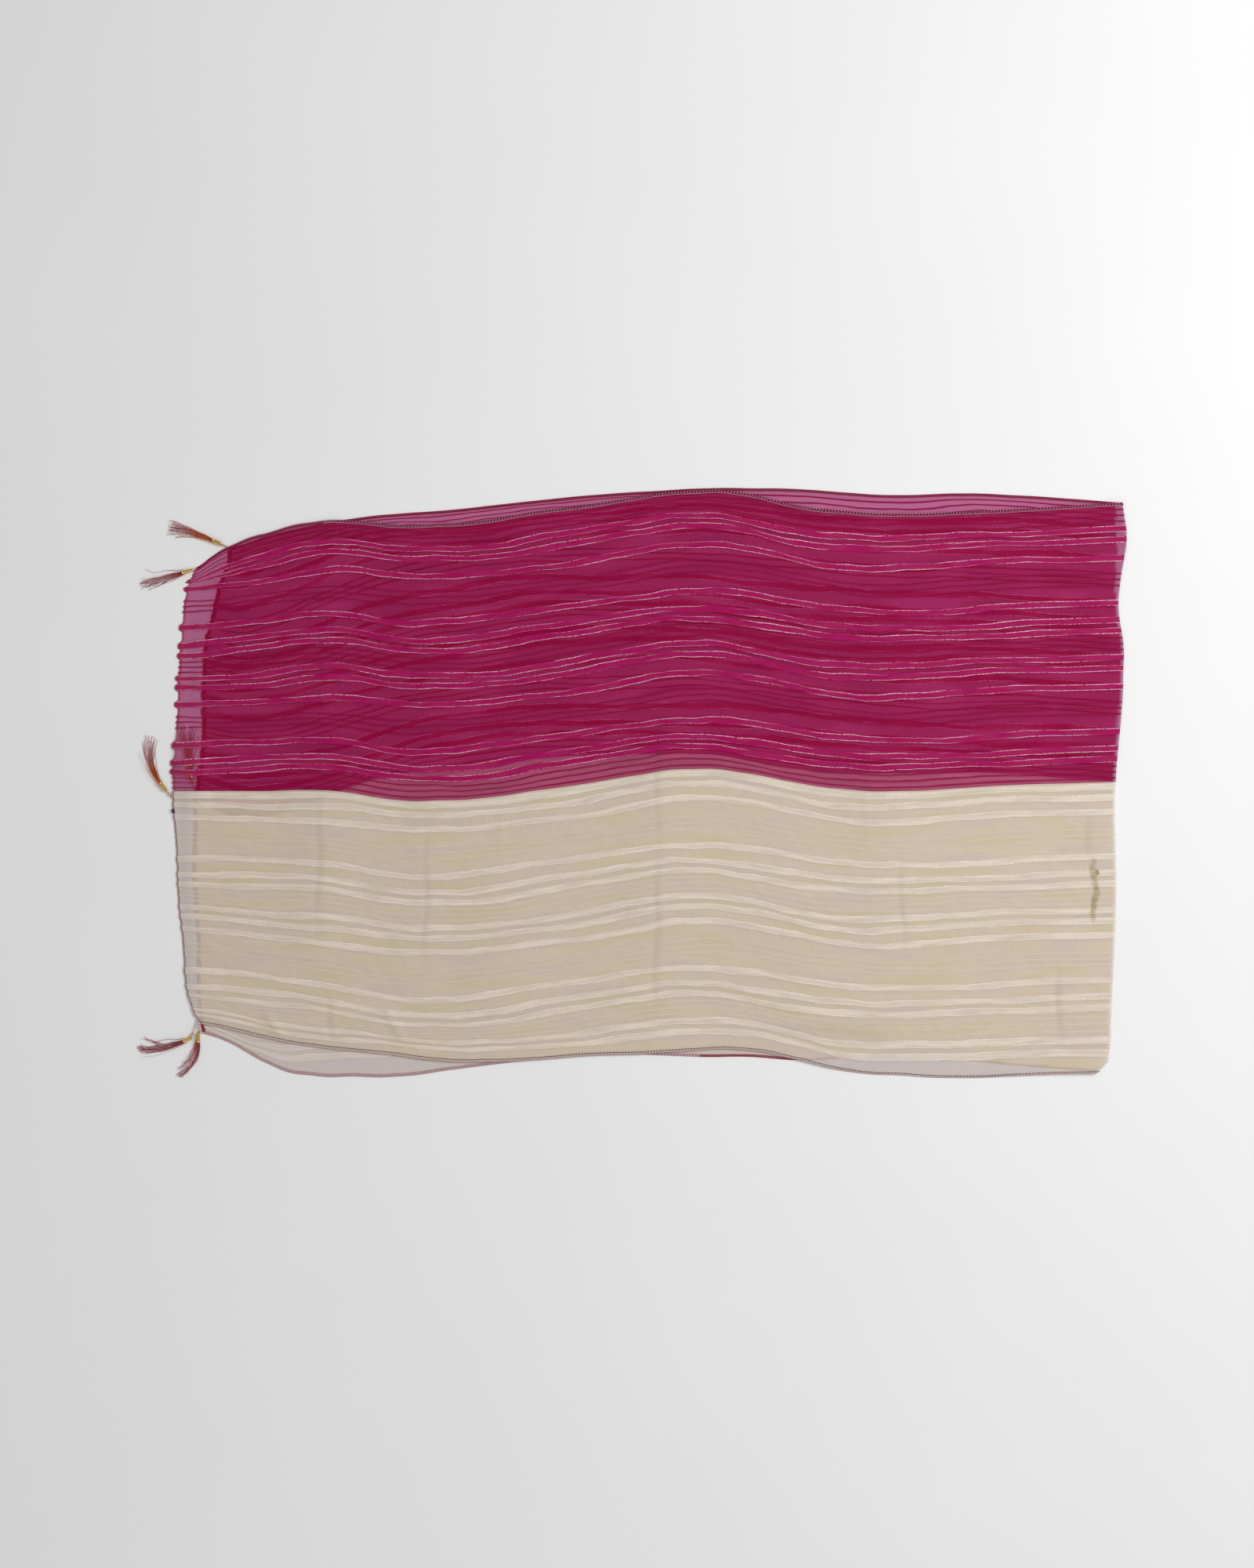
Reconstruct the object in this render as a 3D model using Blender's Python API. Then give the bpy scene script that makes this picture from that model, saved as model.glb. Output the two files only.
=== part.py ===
"""Sheer two-tone scarf with a tassel at each corner and seam end, folded once and laid flat.

A magenta panel and a cream panel are sewn together along their length. The scarf is folded in
half across its length, so each panel is one wall: a lower leaf flat on the surface, a rounded
fold at +X, and an upper leaf that lies on the lower one and drops to the surface past its edge.
X runs from the two cut ends to the fold, Y from the cream edge to the magenta edge, Z is up.
The tables and sizes are in millimetres, and the finished meshes in metres.
"""
from collections import namedtuple
from math import cos, exp, pi, radians, sin

import bmesh
import bpy
import numpy as np
from mathutils import Vector

MM = 0.001

CLOTH = 1.2                # thickness of the cloth wall
SEAM_GAP = 0.3             # clearance between two pieces that are sewn together
LAYER_GAP = 0.3            # clearance between the upper leaf and the lower one
EDGING_WIDTH = 3.0         # overlocked edging, from the cloth's cut edge outwards
EDGING_BEVEL = 0.7         # how far the edging's rounded outer side reaches
PANEL_WIDTH = 320.0        # nominal width of one panel, from the seam to the long edge
FOLD_RADIUS = 2.0          # mid-wall radius of the fold

COVER_MARGIN = 6.0         # how far past the lower leaf the upper one still lies at its height
COVER_DROP = 14.0          # over this much more it comes down to the surface
FOLD_SLOPE = 90.0          # length over which the upper leaf comes down from the fold
SWELL_FADE = 60.0          # swells die out over this much before the fold

TUBE_LENGTH = 11.0
TUBE_RADIUS = 2.4
TUBE_BORE = 1.9
SKEIN_RADIUS = 1.6         # bundled thread inside the tube bead
NECK_RADIUS = 0.6          # the same thread between the cloth and the tube bead
NECK_LEAD = 1.5            # the neck runs straight into the bead over this length
SKIRT_REACH = 3.0          # from the bead to where the locks part
SKIRT_WIDTH = 5.4
SKIRT_DEPTH = 1.9
LOCKS_WIDE = 8
LOCKS_DEEP = 2
LOCK_STEPS = 4
LOCK_INSET = 0.09          # half of the gap between two locks where they leave the skirt
LOCK_TIP = 0.16            # half of a lock's thickness at its tip
FLOOR_GAP = 0.3            # locks end this far above the surface
TUBE_SIDES = 12

LOWER_STEPS = 22           # cuts along the lower leaf
UPPER_STEPS = 40           # cuts along the upper leaf, which has the swells
FOLD_STEPS = 6             # cuts round the fold
END_STEPS = [0.0, 0.009, 0.018, 0.027]     # close cuts where the upper leaf leaves the lower one

Section = namedtuple("Section", "x magenta_edge seam cream_edge")
Across = namedtuple("Across", "share upper_end lower_end fold")
Swell = namedtuple("Swell", "x y half_length half_width rise")
Tassel = namedtuple("Tassel", "leaf share tube_x tube_y heading tip_x tip_y spread")

UPPER_SECTIONS = [
    Section(-562, 256, -8, -284),
    Section(-536, 256, -8, -284),
    Section(-517, 269, -8, -286),
    Section(-489, 284, -8, -292),
    Section(-447, 298, -8, -302),
    Section(-396, 310, -7, -311),
    Section(-354, 312, -10, -316),
    Section(-303, 307, -18, -321),
    Section(-247, 308, -19, -328),
    Section(-192, 312, -16, -329),
    Section(-136, 322, -8, -327),
    Section(-71, 330, 1, -322),
    Section(-10, 340, 11, -320),
    Section(55, 347, 18, -316),
    Section(111, 345, 14, -315),
    Section(171, 331, 3, -325),
    Section(236, 323, -6, -340),
    Section(301, 320, -8, -345),
    Section(366, 322, -5, -348),
    Section(432, 325, -1, -346),
    Section(497, 329, 1, -343),
    Section(562, 333, 3, -343),
]

LOWER_SECTIONS = [
    Section(-536, 280, -14, -293),
    Section(-498, 280, -37, -305),
    Section(-452, 293, -37, -330),
    Section(-396, 306, -20, -345),
    Section(-350, 314, -3, -346),
    Section(-294, 320, 12, -346),
    Section(-238, 324, 18, -339),
    Section(-182, 330, 25, -332),
    Section(-117, 337, 32, -325),
    Section(-52, 343, 34, -320),
    Section(13, 347, 36, -321),
    Section(69, 350, 36, -323),
    Section(125, 350, 28, -323),
    Section(180, 349, 19, -327),
    Section(236, 345, 14, -325),
    Section(301, 342, 13, -324),
    Section(366, 344, 14, -327),
    Section(432, 342, 12, -333),
    Section(497, 338, 7, -338),
    Section(562, 333, 3, -343),
]

# share: 1 at the magenta edge, 0 at the seam, -1 at the cream edge
ACROSS = [
    Across(-1.00, -530, -527, 534),
    Across(-0.98, -534, -528, 542),
    Across(-0.93, -540, -530, 548),
    Across(-0.84, -547, -532, 550),
    Across(-0.72, -550, -533, 552),
    Across(-0.60, -553, -533, 554),
    Across(-0.45, -557, -536, 556),
    Across(-0.25, -559, -538, 556),
    Across(-0.12, -562, -537, 555),
    Across(0.00, -563, -536, 556),
    Across(0.12, -563, -531, 559),
    Across(0.25, -560, -528, 563),
    Across(0.40, -558, -528, 565),
    Across(0.50, -557, -527, 565),
    Across(0.60, -555, -525, 560),
    Across(0.70, -553, -520, 561),
    Across(0.80, -551, -514, 566),
    Across(0.88, -548, -508, 569),
    Across(0.94, -544, -499, 567),
    Across(1.00, -537, -497, 564),
]

# soft ridges and swellings of the upper leaf
SWELLS = [
    Swell(-470, 150, 60, 90, 1.2),
    Swell(-391, -60, 34, 190, 1.8),
    Swell(-330, 240, 70, 60, 1.4),
    Swell(-261, 60, 38, 230, 1.5),
    Swell(-173, -190, 45, 120, 1.6),
    Swell(-95, 180, 60, 110, 1.3),
    Swell(11, -40, 40, 260, 2.0),
    Swell(120, 230, 75, 80, 1.5),
    Swell(180, -230, 60, 80, 1.6),
    Swell(280, 20, 42, 240, 1.7),
    Swell(390, 190, 70, 110, 1.2),
    Swell(484, -200, 40, 110, 1.5),
]

# the cloth rises over the tassel that lies under the upper leaf's end
TASSEL_HUMP = Swell(-541, 18, 20, 42, 4.2)

# start on the cloth, where the tube bead begins and points (degrees), middle and width of the tips
TASSELS = [
    Tassel("lower", 1.00, -505.9, 284.6, 154, -567.8, 305.5, 12),
    Tassel("upper", 1.00, -541.5, 253.3, 196, -601.7, 236.7, 13),
    Tassel("upper", -0.03, -571.0, -7.0, 130, -588.7, 55.8, 14),
    Tassel("lower", 0.015, -540.3, 4.6, 100, -543.1, 67.9, 11),
    Tassel("upper", -0.97, -540.6, -300.4, 208, -604.0, -310.6, 11),
    Tassel("lower", -1.00, -532.6, -295.5, 268, -558.0, -345.0, 12),
]


def smooth_curve(places, values):
    """A smooth curve through a table's points, with each slope read from its two neighbours."""
    places = np.array(places, float)
    values = np.array(values, float)
    slopes = np.gradient(values, places)

    def at(place):
        first = int(np.clip(np.searchsorted(places, place) - 1, 0, len(places) - 2))
        step = places[first + 1] - places[first]
        t = min(1.0, max(0.0, (place - places[first]) / step))
        start = values[first] + slopes[first] * step * t
        end = values[first + 1] - slopes[first + 1] * step * (1 - t)
        ease = t * t * (3 - 2 * t)
        return start + (end - start) * ease

    return at


def smooth_step(t):
    t = min(1.0, max(0.0, t))
    return t * t * (3 - 2 * t)


class Leaf:
    """One half of the folded scarf: where its end, seam and long edges lie, seen from above."""

    def __init__(self, sections, end_column):
        places = [row.x for row in sections]
        self.magenta_edge = smooth_curve(places, [row.magenta_edge for row in sections])
        self.seam = smooth_curve(places, [row.seam for row in sections])
        self.cream_edge = smooth_curve(places, [row.cream_edge for row in sections])
        shares = [row.share for row in ACROSS]
        self.end = smooth_curve(shares, [getattr(row, end_column) for row in ACROSS])

    def y(self, x, share):
        """The point that lies this share of the way from the seam to the long edge."""
        seam = self.seam(x)
        edge = self.magenta_edge(x) if share > 0 else self.cream_edge(x)
        return seam + abs(share) * (edge - seam)

    def x(self, along, share, inset):
        """The point this far along, from 0 at the cut end, less the inset, to 1 at the fold."""
        start = self.end(share) + inset
        return start + along * (fold_start(share) - start)


def fold_start(share):
    """Where the two leaves begin to turn into the fold."""
    return fold_edge(share) - FOLD_RADIUS - CLOTH / 2


fold_edge = smooth_curve([row.share for row in ACROSS], [row.fold for row in ACROSS])
UPPER = Leaf(UPPER_SECTIONS, "upper_end")
LOWER = Leaf(LOWER_SECTIONS, "lower_end")


def swelling(swell, x, y, power=2):
    """Height that one swell adds at a point."""
    length = abs((x - swell.x) / swell.half_length) ** power
    width = abs((y - swell.y) / swell.half_width) ** power
    return swell.rise * exp(-length - width)


def cover(x, y, share):
    """1 where the upper leaf lies on the lower one, falling to 0 past the lower one's outline."""
    inside = min(LOWER.magenta_edge(x) - y, y - LOWER.cream_edge(x), x - LOWER.end(share))
    return 1 - smooth_step((-inside - COVER_MARGIN) / COVER_DROP)


def upper_height(x, y, share):
    """Height of the upper leaf's middle above the surface."""
    from_fold = fold_start(share) - x
    laid = CLOTH + LAYER_GAP
    rise = 2 * FOLD_RADIUS - laid
    swells = sum(swelling(swell, x, y) for swell in SWELLS) * smooth_step(from_fold / SWELL_FADE)
    on_lower = laid + swells + rise * (1 - smooth_step(from_fold / FOLD_SLOPE))
    hump = swelling(TASSEL_HUMP, x, y, power=4)
    return CLOTH / 2 + on_lower * cover(x, y, share) + hump


def lower_station(along, inset):
    """A cut across the lower leaf: gives the middle of the wall and its outer side's direction."""

    def at(share):
        x = LOWER.x(along, share, inset)
        return Vector((x, LOWER.y(x, share), CLOTH / 2)), Vector((0, 0, -1))

    return at


def upper_station(along, inset):
    """The same across the upper leaf, whose outer side is its top."""

    def at(share):
        x = UPPER.x(along, share, inset)
        y = UPPER.y(x, share)
        return Vector((x, y, upper_height(x, y, share))), Vector((0, 0, 1))

    return at


def fold_station(turn):
    """The same in the fold, at an angle from 0 under it to pi on top of it."""

    def at(share):
        x = fold_start(share)
        lower_y = LOWER.y(x, share)
        y = lower_y + (UPPER.y(x, share) - lower_y) * turn / pi
        outward = Vector((sin(turn), 0, -cos(turn)))
        return Vector((x, y, CLOTH / 2 + FOLD_RADIUS)) + outward * FOLD_RADIUS, outward

    return at


def folded_stations(inset):
    """Cuts from the lower leaf's end, along it, round the fold and back along the upper leaf."""
    stations = [lower_station(i / LOWER_STEPS, inset) for i in range(LOWER_STEPS)]
    stations += [fold_station(pi * i / FOLD_STEPS) for i in range(FOLD_STEPS + 1)]
    last = END_STEPS[-1]
    even = [1 - (1 - last) * i / UPPER_STEPS for i in range(1, UPPER_STEPS + 1)]
    stations += [upper_station(along, inset) for along in even + END_STEPS[-2::-1]]
    return stations


def add_object(name, bm, material):
    """Turns a bmesh in millimetres into a named object in metres, with its faces outwards."""
    bmesh.ops.recalc_face_normals(bm, faces=bm.faces)
    bmesh.ops.scale(bm, vec=(MM, MM, MM), verts=bm.verts)
    mesh = bpy.data.meshes.new(name)
    bm.to_mesh(mesh)
    bm.free()
    mesh.materials.append(material)
    thing = bpy.data.objects.new(name, mesh)
    bpy.context.collection.objects.link(thing)
    return thing


def skin(bm, rows, closed):
    """Faces between rows of points, each row open or closed in a ring."""
    for near, far in zip(rows, rows[1:]):
        count = len(near)
        for i in range(count if closed else count - 1):
            j = (i + 1) % count
            bm.faces.new((near[i], near[j], far[j], far[i]))


def solid_of_rings(bm, rings):
    """A closed body through rings of points, with a flat cap at both ends."""
    rows = [[bm.verts.new(point) for point in ring] for ring in rings]
    skin(bm, rows, closed=True)
    bm.faces.new(rows[0])
    bm.faces.new(rows[-1])


def panel(name, side, material):
    """One panel of cloth as a wall folded over; side is 1 for magenta and -1 for cream."""
    seam_share = SEAM_GAP / 2 / PANEL_WIDTH
    edge_share = 1 - (EDGING_WIDTH + SEAM_GAP) / PANEL_WIDTH
    between = [abs(row.share) for row in ACROSS if row.share * side > 0 and abs(row.share) < 1]
    shares = [seam_share] + sorted(share * edge_share for share in between) + [edge_share]
    bm = bmesh.new()
    outer = []
    inner = []
    for station in folded_stations(EDGING_WIDTH + SEAM_GAP):
        cuts = [station(side * share) for share in shares]
        outer.append([bm.verts.new(middle + outward * CLOTH / 2) for middle, outward in cuts])
        inner.append([bm.verts.new(middle - outward * CLOTH / 2) for middle, outward in cuts])
    skin(bm, outer, closed=False)
    skin(bm, inner, closed=False)
    for end in (0, -1):
        skin(bm, [outer[end], inner[end]], closed=False)
        skin(bm, [[row[end] for row in outer], [row[end] for row in inner]], closed=False)
    bmesh.ops.triangulate(bm, faces=bm.faces, quad_method="FIXED")
    return add_object(name, bm, material)


def edging_ring(inner, bevel, outer):
    """Section of the edging through three cuts: square at the cloth, rounded at the outside."""
    ring = [middle + outward * CLOTH / 2 for middle, outward in (inner, bevel)]
    ring.append(outer[0])
    ring += [middle - outward * CLOTH / 2 for middle, outward in (bevel, inner)]
    return ring


def long_edging(name, side, material):
    """Edging along one long edge: the lower leaf's, round the fold and along the upper leaf's."""
    shares = [side * (1 - reach / PANEL_WIDTH) for reach in (EDGING_WIDTH, EDGING_BEVEL, 0)]
    beside_panel = folded_stations(EDGING_WIDTH + SEAM_GAP)
    stations = [lower_station(0, 0)] + beside_panel + [upper_station(0, 0)]
    rings = [edging_ring(*[station(share) for share in shares]) for station in stations]
    bm = bmesh.new()
    solid_of_rings(bm, rings)
    return add_object(name, bm, material)


def end_edging(name, make_station, material):
    """Edging along one cut end, between the two long edgings."""
    widest = 1 - (EDGING_WIDTH + SEAM_GAP) / PANEL_WIDTH
    cuts = [make_station(0, reach) for reach in (EDGING_WIDTH, EDGING_BEVEL, 0)]
    rings = [edging_ring(*[cut(row.share * widest) for cut in cuts]) for row in ACROSS]
    bm = bmesh.new()
    solid_of_rings(bm, rings)
    return add_object(name, bm, material)


def heading_of(degrees):
    return Vector((cos(radians(degrees)), sin(radians(degrees)), 0))


def bend(start, control, end, t):
    """A point on the curve from start to end that leaves and arrives towards control."""
    return start.lerp(control, t).lerp(control.lerp(end, t), t)


def skein_places():
    """Places of the skein's points in its flat end, as a grid, and the order round its rim."""
    grid = [(i, j) for j in range(LOCKS_DEEP + 1) for i in range(LOCKS_WIDE + 1)]
    rim = [(i, 0) for i in range(LOCKS_WIDE)]
    rim += [(LOCKS_WIDE, j) for j in range(LOCKS_DEEP)]
    rim += [(i, LOCKS_DEEP) for i in range(LOCKS_WIDE, 0, -1)]
    rim += [(0, j) for j in range(LOCKS_DEEP, 0, -1)]
    return grid, rim


def round_ring(middle, forward, radius, count):
    """A ring across a thread, its points turned to match the flat end's rim."""
    sideways = Vector((forward.y, -forward.x, 0)).normalized()
    upward = sideways.cross(forward).normalized()
    first = pi * (1 + LOCKS_DEEP / count)
    ring = []
    for i in range(count):
        angle = first + 2 * pi * i / count
        ring.append(middle + radius * (cos(angle) * sideways + sin(angle) * upward))
    return ring


def tassel(name, row, material):
    """Thread from the cloth through the tube bead, then a flat skirt that parts into locks."""
    make_station = upper_station if row.leaf == "upper" else lower_station
    forward = heading_of(row.heading)
    bead_start = Vector((row.tube_x, row.tube_y, TUBE_RADIUS))
    bead_end = bead_start + forward * TUBE_LENGTH
    neck_control = bead_start - forward * NECK_LEAD
    start, _ = make_station(0, 0)(row.share)
    start.x -= SEAM_GAP + NECK_RADIUS
    grid, rim = skein_places()

    rings = []
    for t, radius in ((0, NECK_RADIUS), (0.5, NECK_RADIUS), (1, NECK_RADIUS * 1.5)):
        here = bend(start, neck_control, bead_start, t)
        ahead = bend(start, neck_control, bead_start, t + 0.02) - here
        direction = Vector((ahead.x, ahead.y, 0)).normalized()
        rings.append(round_ring(here, direction, radius, len(rim)))
    inside = bead_start + forward * SKEIN_RADIUS
    rings.append(round_ring(inside, forward, SKEIN_RADIUS, len(rim)))
    rings.append(round_ring(bead_end + forward * SEAM_GAP, forward, SKEIN_RADIUS, len(rim)))

    sideways = Vector((forward.y, -forward.x, 0))
    skirt = bead_end + forward * SKIRT_REACH
    skirt.z = FLOOR_GAP + SKIRT_DEPTH / 2 + SKEIN_RADIUS / 4

    def end_point(i, j):
        over = (i / LOCKS_WIDE - 0.5) * SKIRT_WIDTH
        up = (j / LOCKS_DEEP - 0.5) * SKIRT_DEPTH
        return skirt + sideways * over + Vector((0, 0, up))

    bm = bmesh.new()
    rows = [[bm.verts.new(point) for point in ring] for ring in rings]
    flat_end = {place: bm.verts.new(end_point(*place)) for place in grid}
    rows.append([flat_end[place] for place in rim])
    skin(bm, rows, closed=True)
    bm.faces.new(rows[0])
    tip = Vector((row.tip_x, row.tip_y, 0))
    for j in range(LOCKS_DEEP):
        for i in range(LOCKS_WIDE):
            corners = [flat_end[i, j], flat_end[i + 1, j], flat_end[i + 1, j + 1], flat_end[i, j + 1]]
            add_lock(bm, corners, i, j, skirt, forward, tip, row.spread)
    return add_object(name, bm, material)


def add_lock(bm, corners, i, j, skirt, forward, tip, spread):
    """One lock of thread, from its cell of the skirt's flat end to its own tip."""
    outwards = (i + 0.5) / LOCKS_WIDE - 0.5
    cell = sum((corner.co for corner in corners), Vector()) / len(corners)
    half_wide = SKIRT_WIDTH / LOCKS_WIDE / 2 - LOCK_INSET
    half_deep = SKIRT_DEPTH / LOCKS_DEEP / 2 - LOCK_INSET
    reach = (tip - skirt).to_2d().length
    control = skirt + forward * reach / 2
    tip_height = FLOOR_GAP + LOCK_TIP + j * 4 * LOCK_TIP
    length = 1 - 0.07 * abs(sin(5.1 * i + 2.3 * j + spread))
    previous = corners
    for step in range(LOCK_STEPS + 1):
        t = length * step / LOCK_STEPS
        here = bend(skirt, control, tip, t)
        ahead = bend(skirt, control, tip, t + 0.02) - here
        sideways = Vector((ahead.y, -ahead.x, 0)).normalized()
        width = SKIRT_WIDTH + (spread - SKIRT_WIDTH) * t
        here += sideways * outwards * width
        here.z = cell.z + (tip_height - cell.z) * smooth_step(1.6 * t)
        thin = t ** 0.5
        wide = half_wide + (LOCK_TIP - half_wide) * thin
        deep = half_deep + (LOCK_TIP - half_deep) * thin
        ring = []
        for across, up in ((-1, -1), (1, -1), (1, 1), (-1, 1)):
            ring.append(bm.verts.new(here + sideways * across * wide + Vector((0, 0, up * deep))))
        skin(bm, [previous, ring], closed=True)
        previous = ring
    bm.faces.new(previous)


def tube_bead(name, row, material):
    """Hollow metal tube lying on the surface, round the tassel's bundled thread."""
    forward = heading_of(row.heading)
    start = Vector((row.tube_x, row.tube_y, TUBE_RADIUS))
    end = start + forward * TUBE_LENGTH
    profile = [(start, TUBE_BORE), (start, TUBE_RADIUS), (end, TUBE_RADIUS), (end, TUBE_BORE)]
    bm = bmesh.new()
    rows = []
    for middle, radius in profile:
        ring = round_ring(middle, forward, radius, TUBE_SIDES)
        rows.append([bm.verts.new(point) for point in ring])
    skin(bm, rows + rows[:1], closed=True)
    thing = add_object(name, bm, material)
    thing.data.shade_smooth()
    thing.data.set_sharp_from_angle(angle=radians(40))
    return thing


def principled(name, colour, roughness, metallic=0.0):
    material = bpy.data.materials.new(name)
    material.use_nodes = True
    shader = material.node_tree.nodes["Principled BSDF"]
    shader.inputs["Base Color"].default_value = (*colour, 1)
    shader.inputs["Roughness"].default_value = roughness
    shader.inputs["Metallic"].default_value = metallic
    return material


def centre_on_origin(things):
    """Hangs every piece on one empty, moved so that the box's bottom centre is the origin."""
    corners = [Vector(corner) for thing in things for corner in thing.bound_box]
    low = Vector([min(corner[axis] for corner in corners) for axis in range(3)])
    high = Vector([max(corner[axis] for corner in corners) for axis in range(3)])
    middle = (low + high) / 2
    root = bpy.data.objects.new("scarf_origin", None)
    root.location = (-middle.x, -middle.y, -low.z)
    bpy.context.collection.objects.link(root)
    for thing in things:
        thing.parent = root


def main():
    for thing in list(bpy.data.objects):
        bpy.data.objects.remove(thing)
    magenta_cloth = principled("magenta_cloth", (0.33, 0.006, 0.085), 0.75)
    cream_cloth = principled("cream_cloth", (0.60, 0.49, 0.36), 0.75)
    edging_thread = principled("edging_thread", (0.45, 0.16, 0.26), 0.8)
    tassel_thread = principled("tassel_thread", (0.42, 0.11, 0.08), 0.7)
    gold_bead = principled("gold_bead", (0.75, 0.52, 0.20), 0.3, metallic=1.0)

    things = [
        panel("magenta_panel", 1, magenta_cloth),
        panel("cream_panel", -1, cream_cloth),
        long_edging("edging_magenta", 1, edging_thread),
        long_edging("edging_cream", -1, edging_thread),
        end_edging("edging_end_upper", upper_station, edging_thread),
        end_edging("edging_end_lower", lower_station, edging_thread),
    ]
    for number, row in enumerate(TASSELS, 1):
        things.append(tassel(f"tassel_{number}", row, tassel_thread))
        things.append(tube_bead(f"tassel_tube_{number}", row, gold_bead))
    centre_on_origin(things)


main()
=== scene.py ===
"""Looks of a sheer two-tone scarf with beaded tassels, folded once and laid flat.

The magenta and the cream panel are thin open shells that run along the lower leaf, round the fold
and back along the upper leaf. Their columns follow the woven stripes, so that bands, thin lines and
silver threads are faces of their own. Thread is modelled as thin tubes: the overlocked edging, the
seam's stitches and the tassels. Tables and sizes are in millimetres in the cutting table's own
coordinates, and every mesh is moved to the frame's place and turned into metres when it is made.
"""
from collections import namedtuple
from math import cos, pi, radians, sin

import bpy
import numpy as np
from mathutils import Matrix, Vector


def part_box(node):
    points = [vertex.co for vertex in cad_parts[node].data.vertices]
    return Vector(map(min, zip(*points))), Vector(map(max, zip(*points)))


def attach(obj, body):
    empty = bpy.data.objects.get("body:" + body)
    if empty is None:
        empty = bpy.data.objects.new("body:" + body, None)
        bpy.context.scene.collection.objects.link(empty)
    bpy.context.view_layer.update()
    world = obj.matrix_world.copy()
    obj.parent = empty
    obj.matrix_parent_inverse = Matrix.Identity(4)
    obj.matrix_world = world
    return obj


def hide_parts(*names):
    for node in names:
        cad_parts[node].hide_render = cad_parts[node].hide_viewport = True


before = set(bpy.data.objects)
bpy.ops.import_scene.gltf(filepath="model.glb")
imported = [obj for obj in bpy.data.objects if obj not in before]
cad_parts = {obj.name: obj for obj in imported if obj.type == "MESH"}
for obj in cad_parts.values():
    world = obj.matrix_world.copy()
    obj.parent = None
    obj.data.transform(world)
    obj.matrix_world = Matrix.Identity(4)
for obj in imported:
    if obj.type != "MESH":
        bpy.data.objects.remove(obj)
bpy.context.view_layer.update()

MM = 0.001
PHOTO_WIDTH = 1600
PHOTO_HEIGHT = 2000
PHOTO_SCALE = 0.93         # millimetres for each pixel of the photograph
TABLE_PIXEL = (826, 1000)  # the pixel where the tables' origin lies

CLOTH = 1.2                # wall of the solid panels, whose middle the thin cloth follows
LAYER_GAP = 0.3
EDGING_WIDTH = 3.0
PANEL_WIDTH = 320.0
FOLD_RADIUS = 2.0
COVER_MARGIN = 6.0         # the upper leaf stays up this far past the lower one's outline
COVER_DROP = 14.0          # and comes down to the surface over this distance
FOLD_SLOPE = 90.0          # the upper leaf rises to the fold over this distance
SWELL_FADE = 60.0          # swells and creases flatten over this distance before the fold
SEAM_GAP = 0.3
TUBE_LENGTH = 11.0
TUBE_RADIUS = 2.4
TUBE_BORE = 1.9
NECK_LEAD = 1.5            # a tassel's neck bends at this distance behind the bead

CLOTH_LENGTH = 2240.0      # of one panel as it was cut
CLOTH_WIDTH = 330.0
CLOTH_INSET = 0.8          # the cloth's raw edge lies this far inside the edging's outer side

ROW_STEP = 3.0             # between two rows of the cloth's points
FOLD_TURNS = np.linspace(0, pi, 12)
COLUMN_STEP = 5.5          # widest column of the cloth's points
LEAST_COLUMN = 0.05

# the weave, measured across the cloth from the seam; a group is three thin lines and the bands by them
Weave = namedtuple("Weave", "first_group pitch")
MAGENTA_WEAVE = Weave(11.2, 76.1)
CREAM_WEAVE = Weave(-9.8, 73.0)
GROUP_LINES = (-7.0, 0.0, 7.0)
LINE_WIDTH = 1.9
BAND_WIDTH = 7.4
BAND_STEP = 4.4            # a band's raised form ends this far from its middle
LINE_STEP = 1.7
SILVER_WIDTH = 0.9         # the bright thread along each side of a band
WIDE_GROUP_BANDS = (-28.6, -15.8, 15.8, 28.2)
NARROW_GROUP_BANDS = (-27.6, 25.3)
GROUND, BAND, LINE, SILVER = range(4)

# how the cloth is laid: gathered across at the cut ends, and squeezed or let out past the knee
GATHERED = 0.905
GATHER_FROM = -562.0
GATHER_LENGTH = 230.0
KNEE = 265.0
FOLD_PLACE = 560.0

MAGENTA_TAB = 4.8          # bands stand out this far past the ground at the magenta's cut end
CREAM_TAB = 0.9
LOWER_TABS = 0.25          # on the lower leaf, by this part of it
LINE_TAB = 0.4             # thin lines stand out by this part of it
TAB_ROOT = 26.0            # this far from the cut end the threads run straight across again
GROUND_DRAWN_IN = 0.35     # and the ground draws back by this part
BAND_RISE = 0.18
PUCKER = 0.16              # height of the ground's small puckers between the bands
RELIEF_FADE = 6.0          # bands and puckers flatten this far from the long edges
CREASE_WANDER = 1.6        # creases wander this far to each side of their line
CREASE_WANDER_LENGTH = 17.0

# overlock stitches: width is a share of the solid edging's width, thread is the thread's radius
Stitch = namedtuple("Stitch", "pitch width thread")
UNDER_FROM = 60.0          # from here to the fold the lower leaf's cream edging lies under the upper leaf
PLAIN_CORNER = -380.0      # the upper leaf's magenta edge has plain thread from here to the cut end
LONG_STITCH = Stitch(3.7, 1.0, 0.36)
UPPER_END_STITCH = Stitch(2.9, 0.50, 0.24)
LOWER_END_STITCH = Stitch(3.0, 1.3, 0.48)
STITCH_SIDES = 5
STITCH_STEPS = 8
SEAM_STITCH = 2.6
SEAM_THREAD = 0.22
SEAM_LIFT = 0.10
LINE_STEPS = 400           # points along each leaf's part of a long edge or the seam
END_LINE_STEPS = 700       # points along a cut end


def table(kind, *rows):
    """Rows with named columns."""
    return [kind(*row) for row in rows]


Section = namedtuple("Section", "x magenta_edge seam cream_edge")
Across = namedtuple("Across", "share upper_end lower_end fold")
Swell = namedtuple("Swell", "x y half_length half_width rise")
Tassel = namedtuple("Tassel", "leaf share tube_x tube_y heading tip_x tip_y spread")
Crease = namedtuple("Crease", "x1 y1 x2 y2 half_width rise")
Ripple = namedtuple("Ripple", "height wavelength cycles_across phase")

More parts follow.
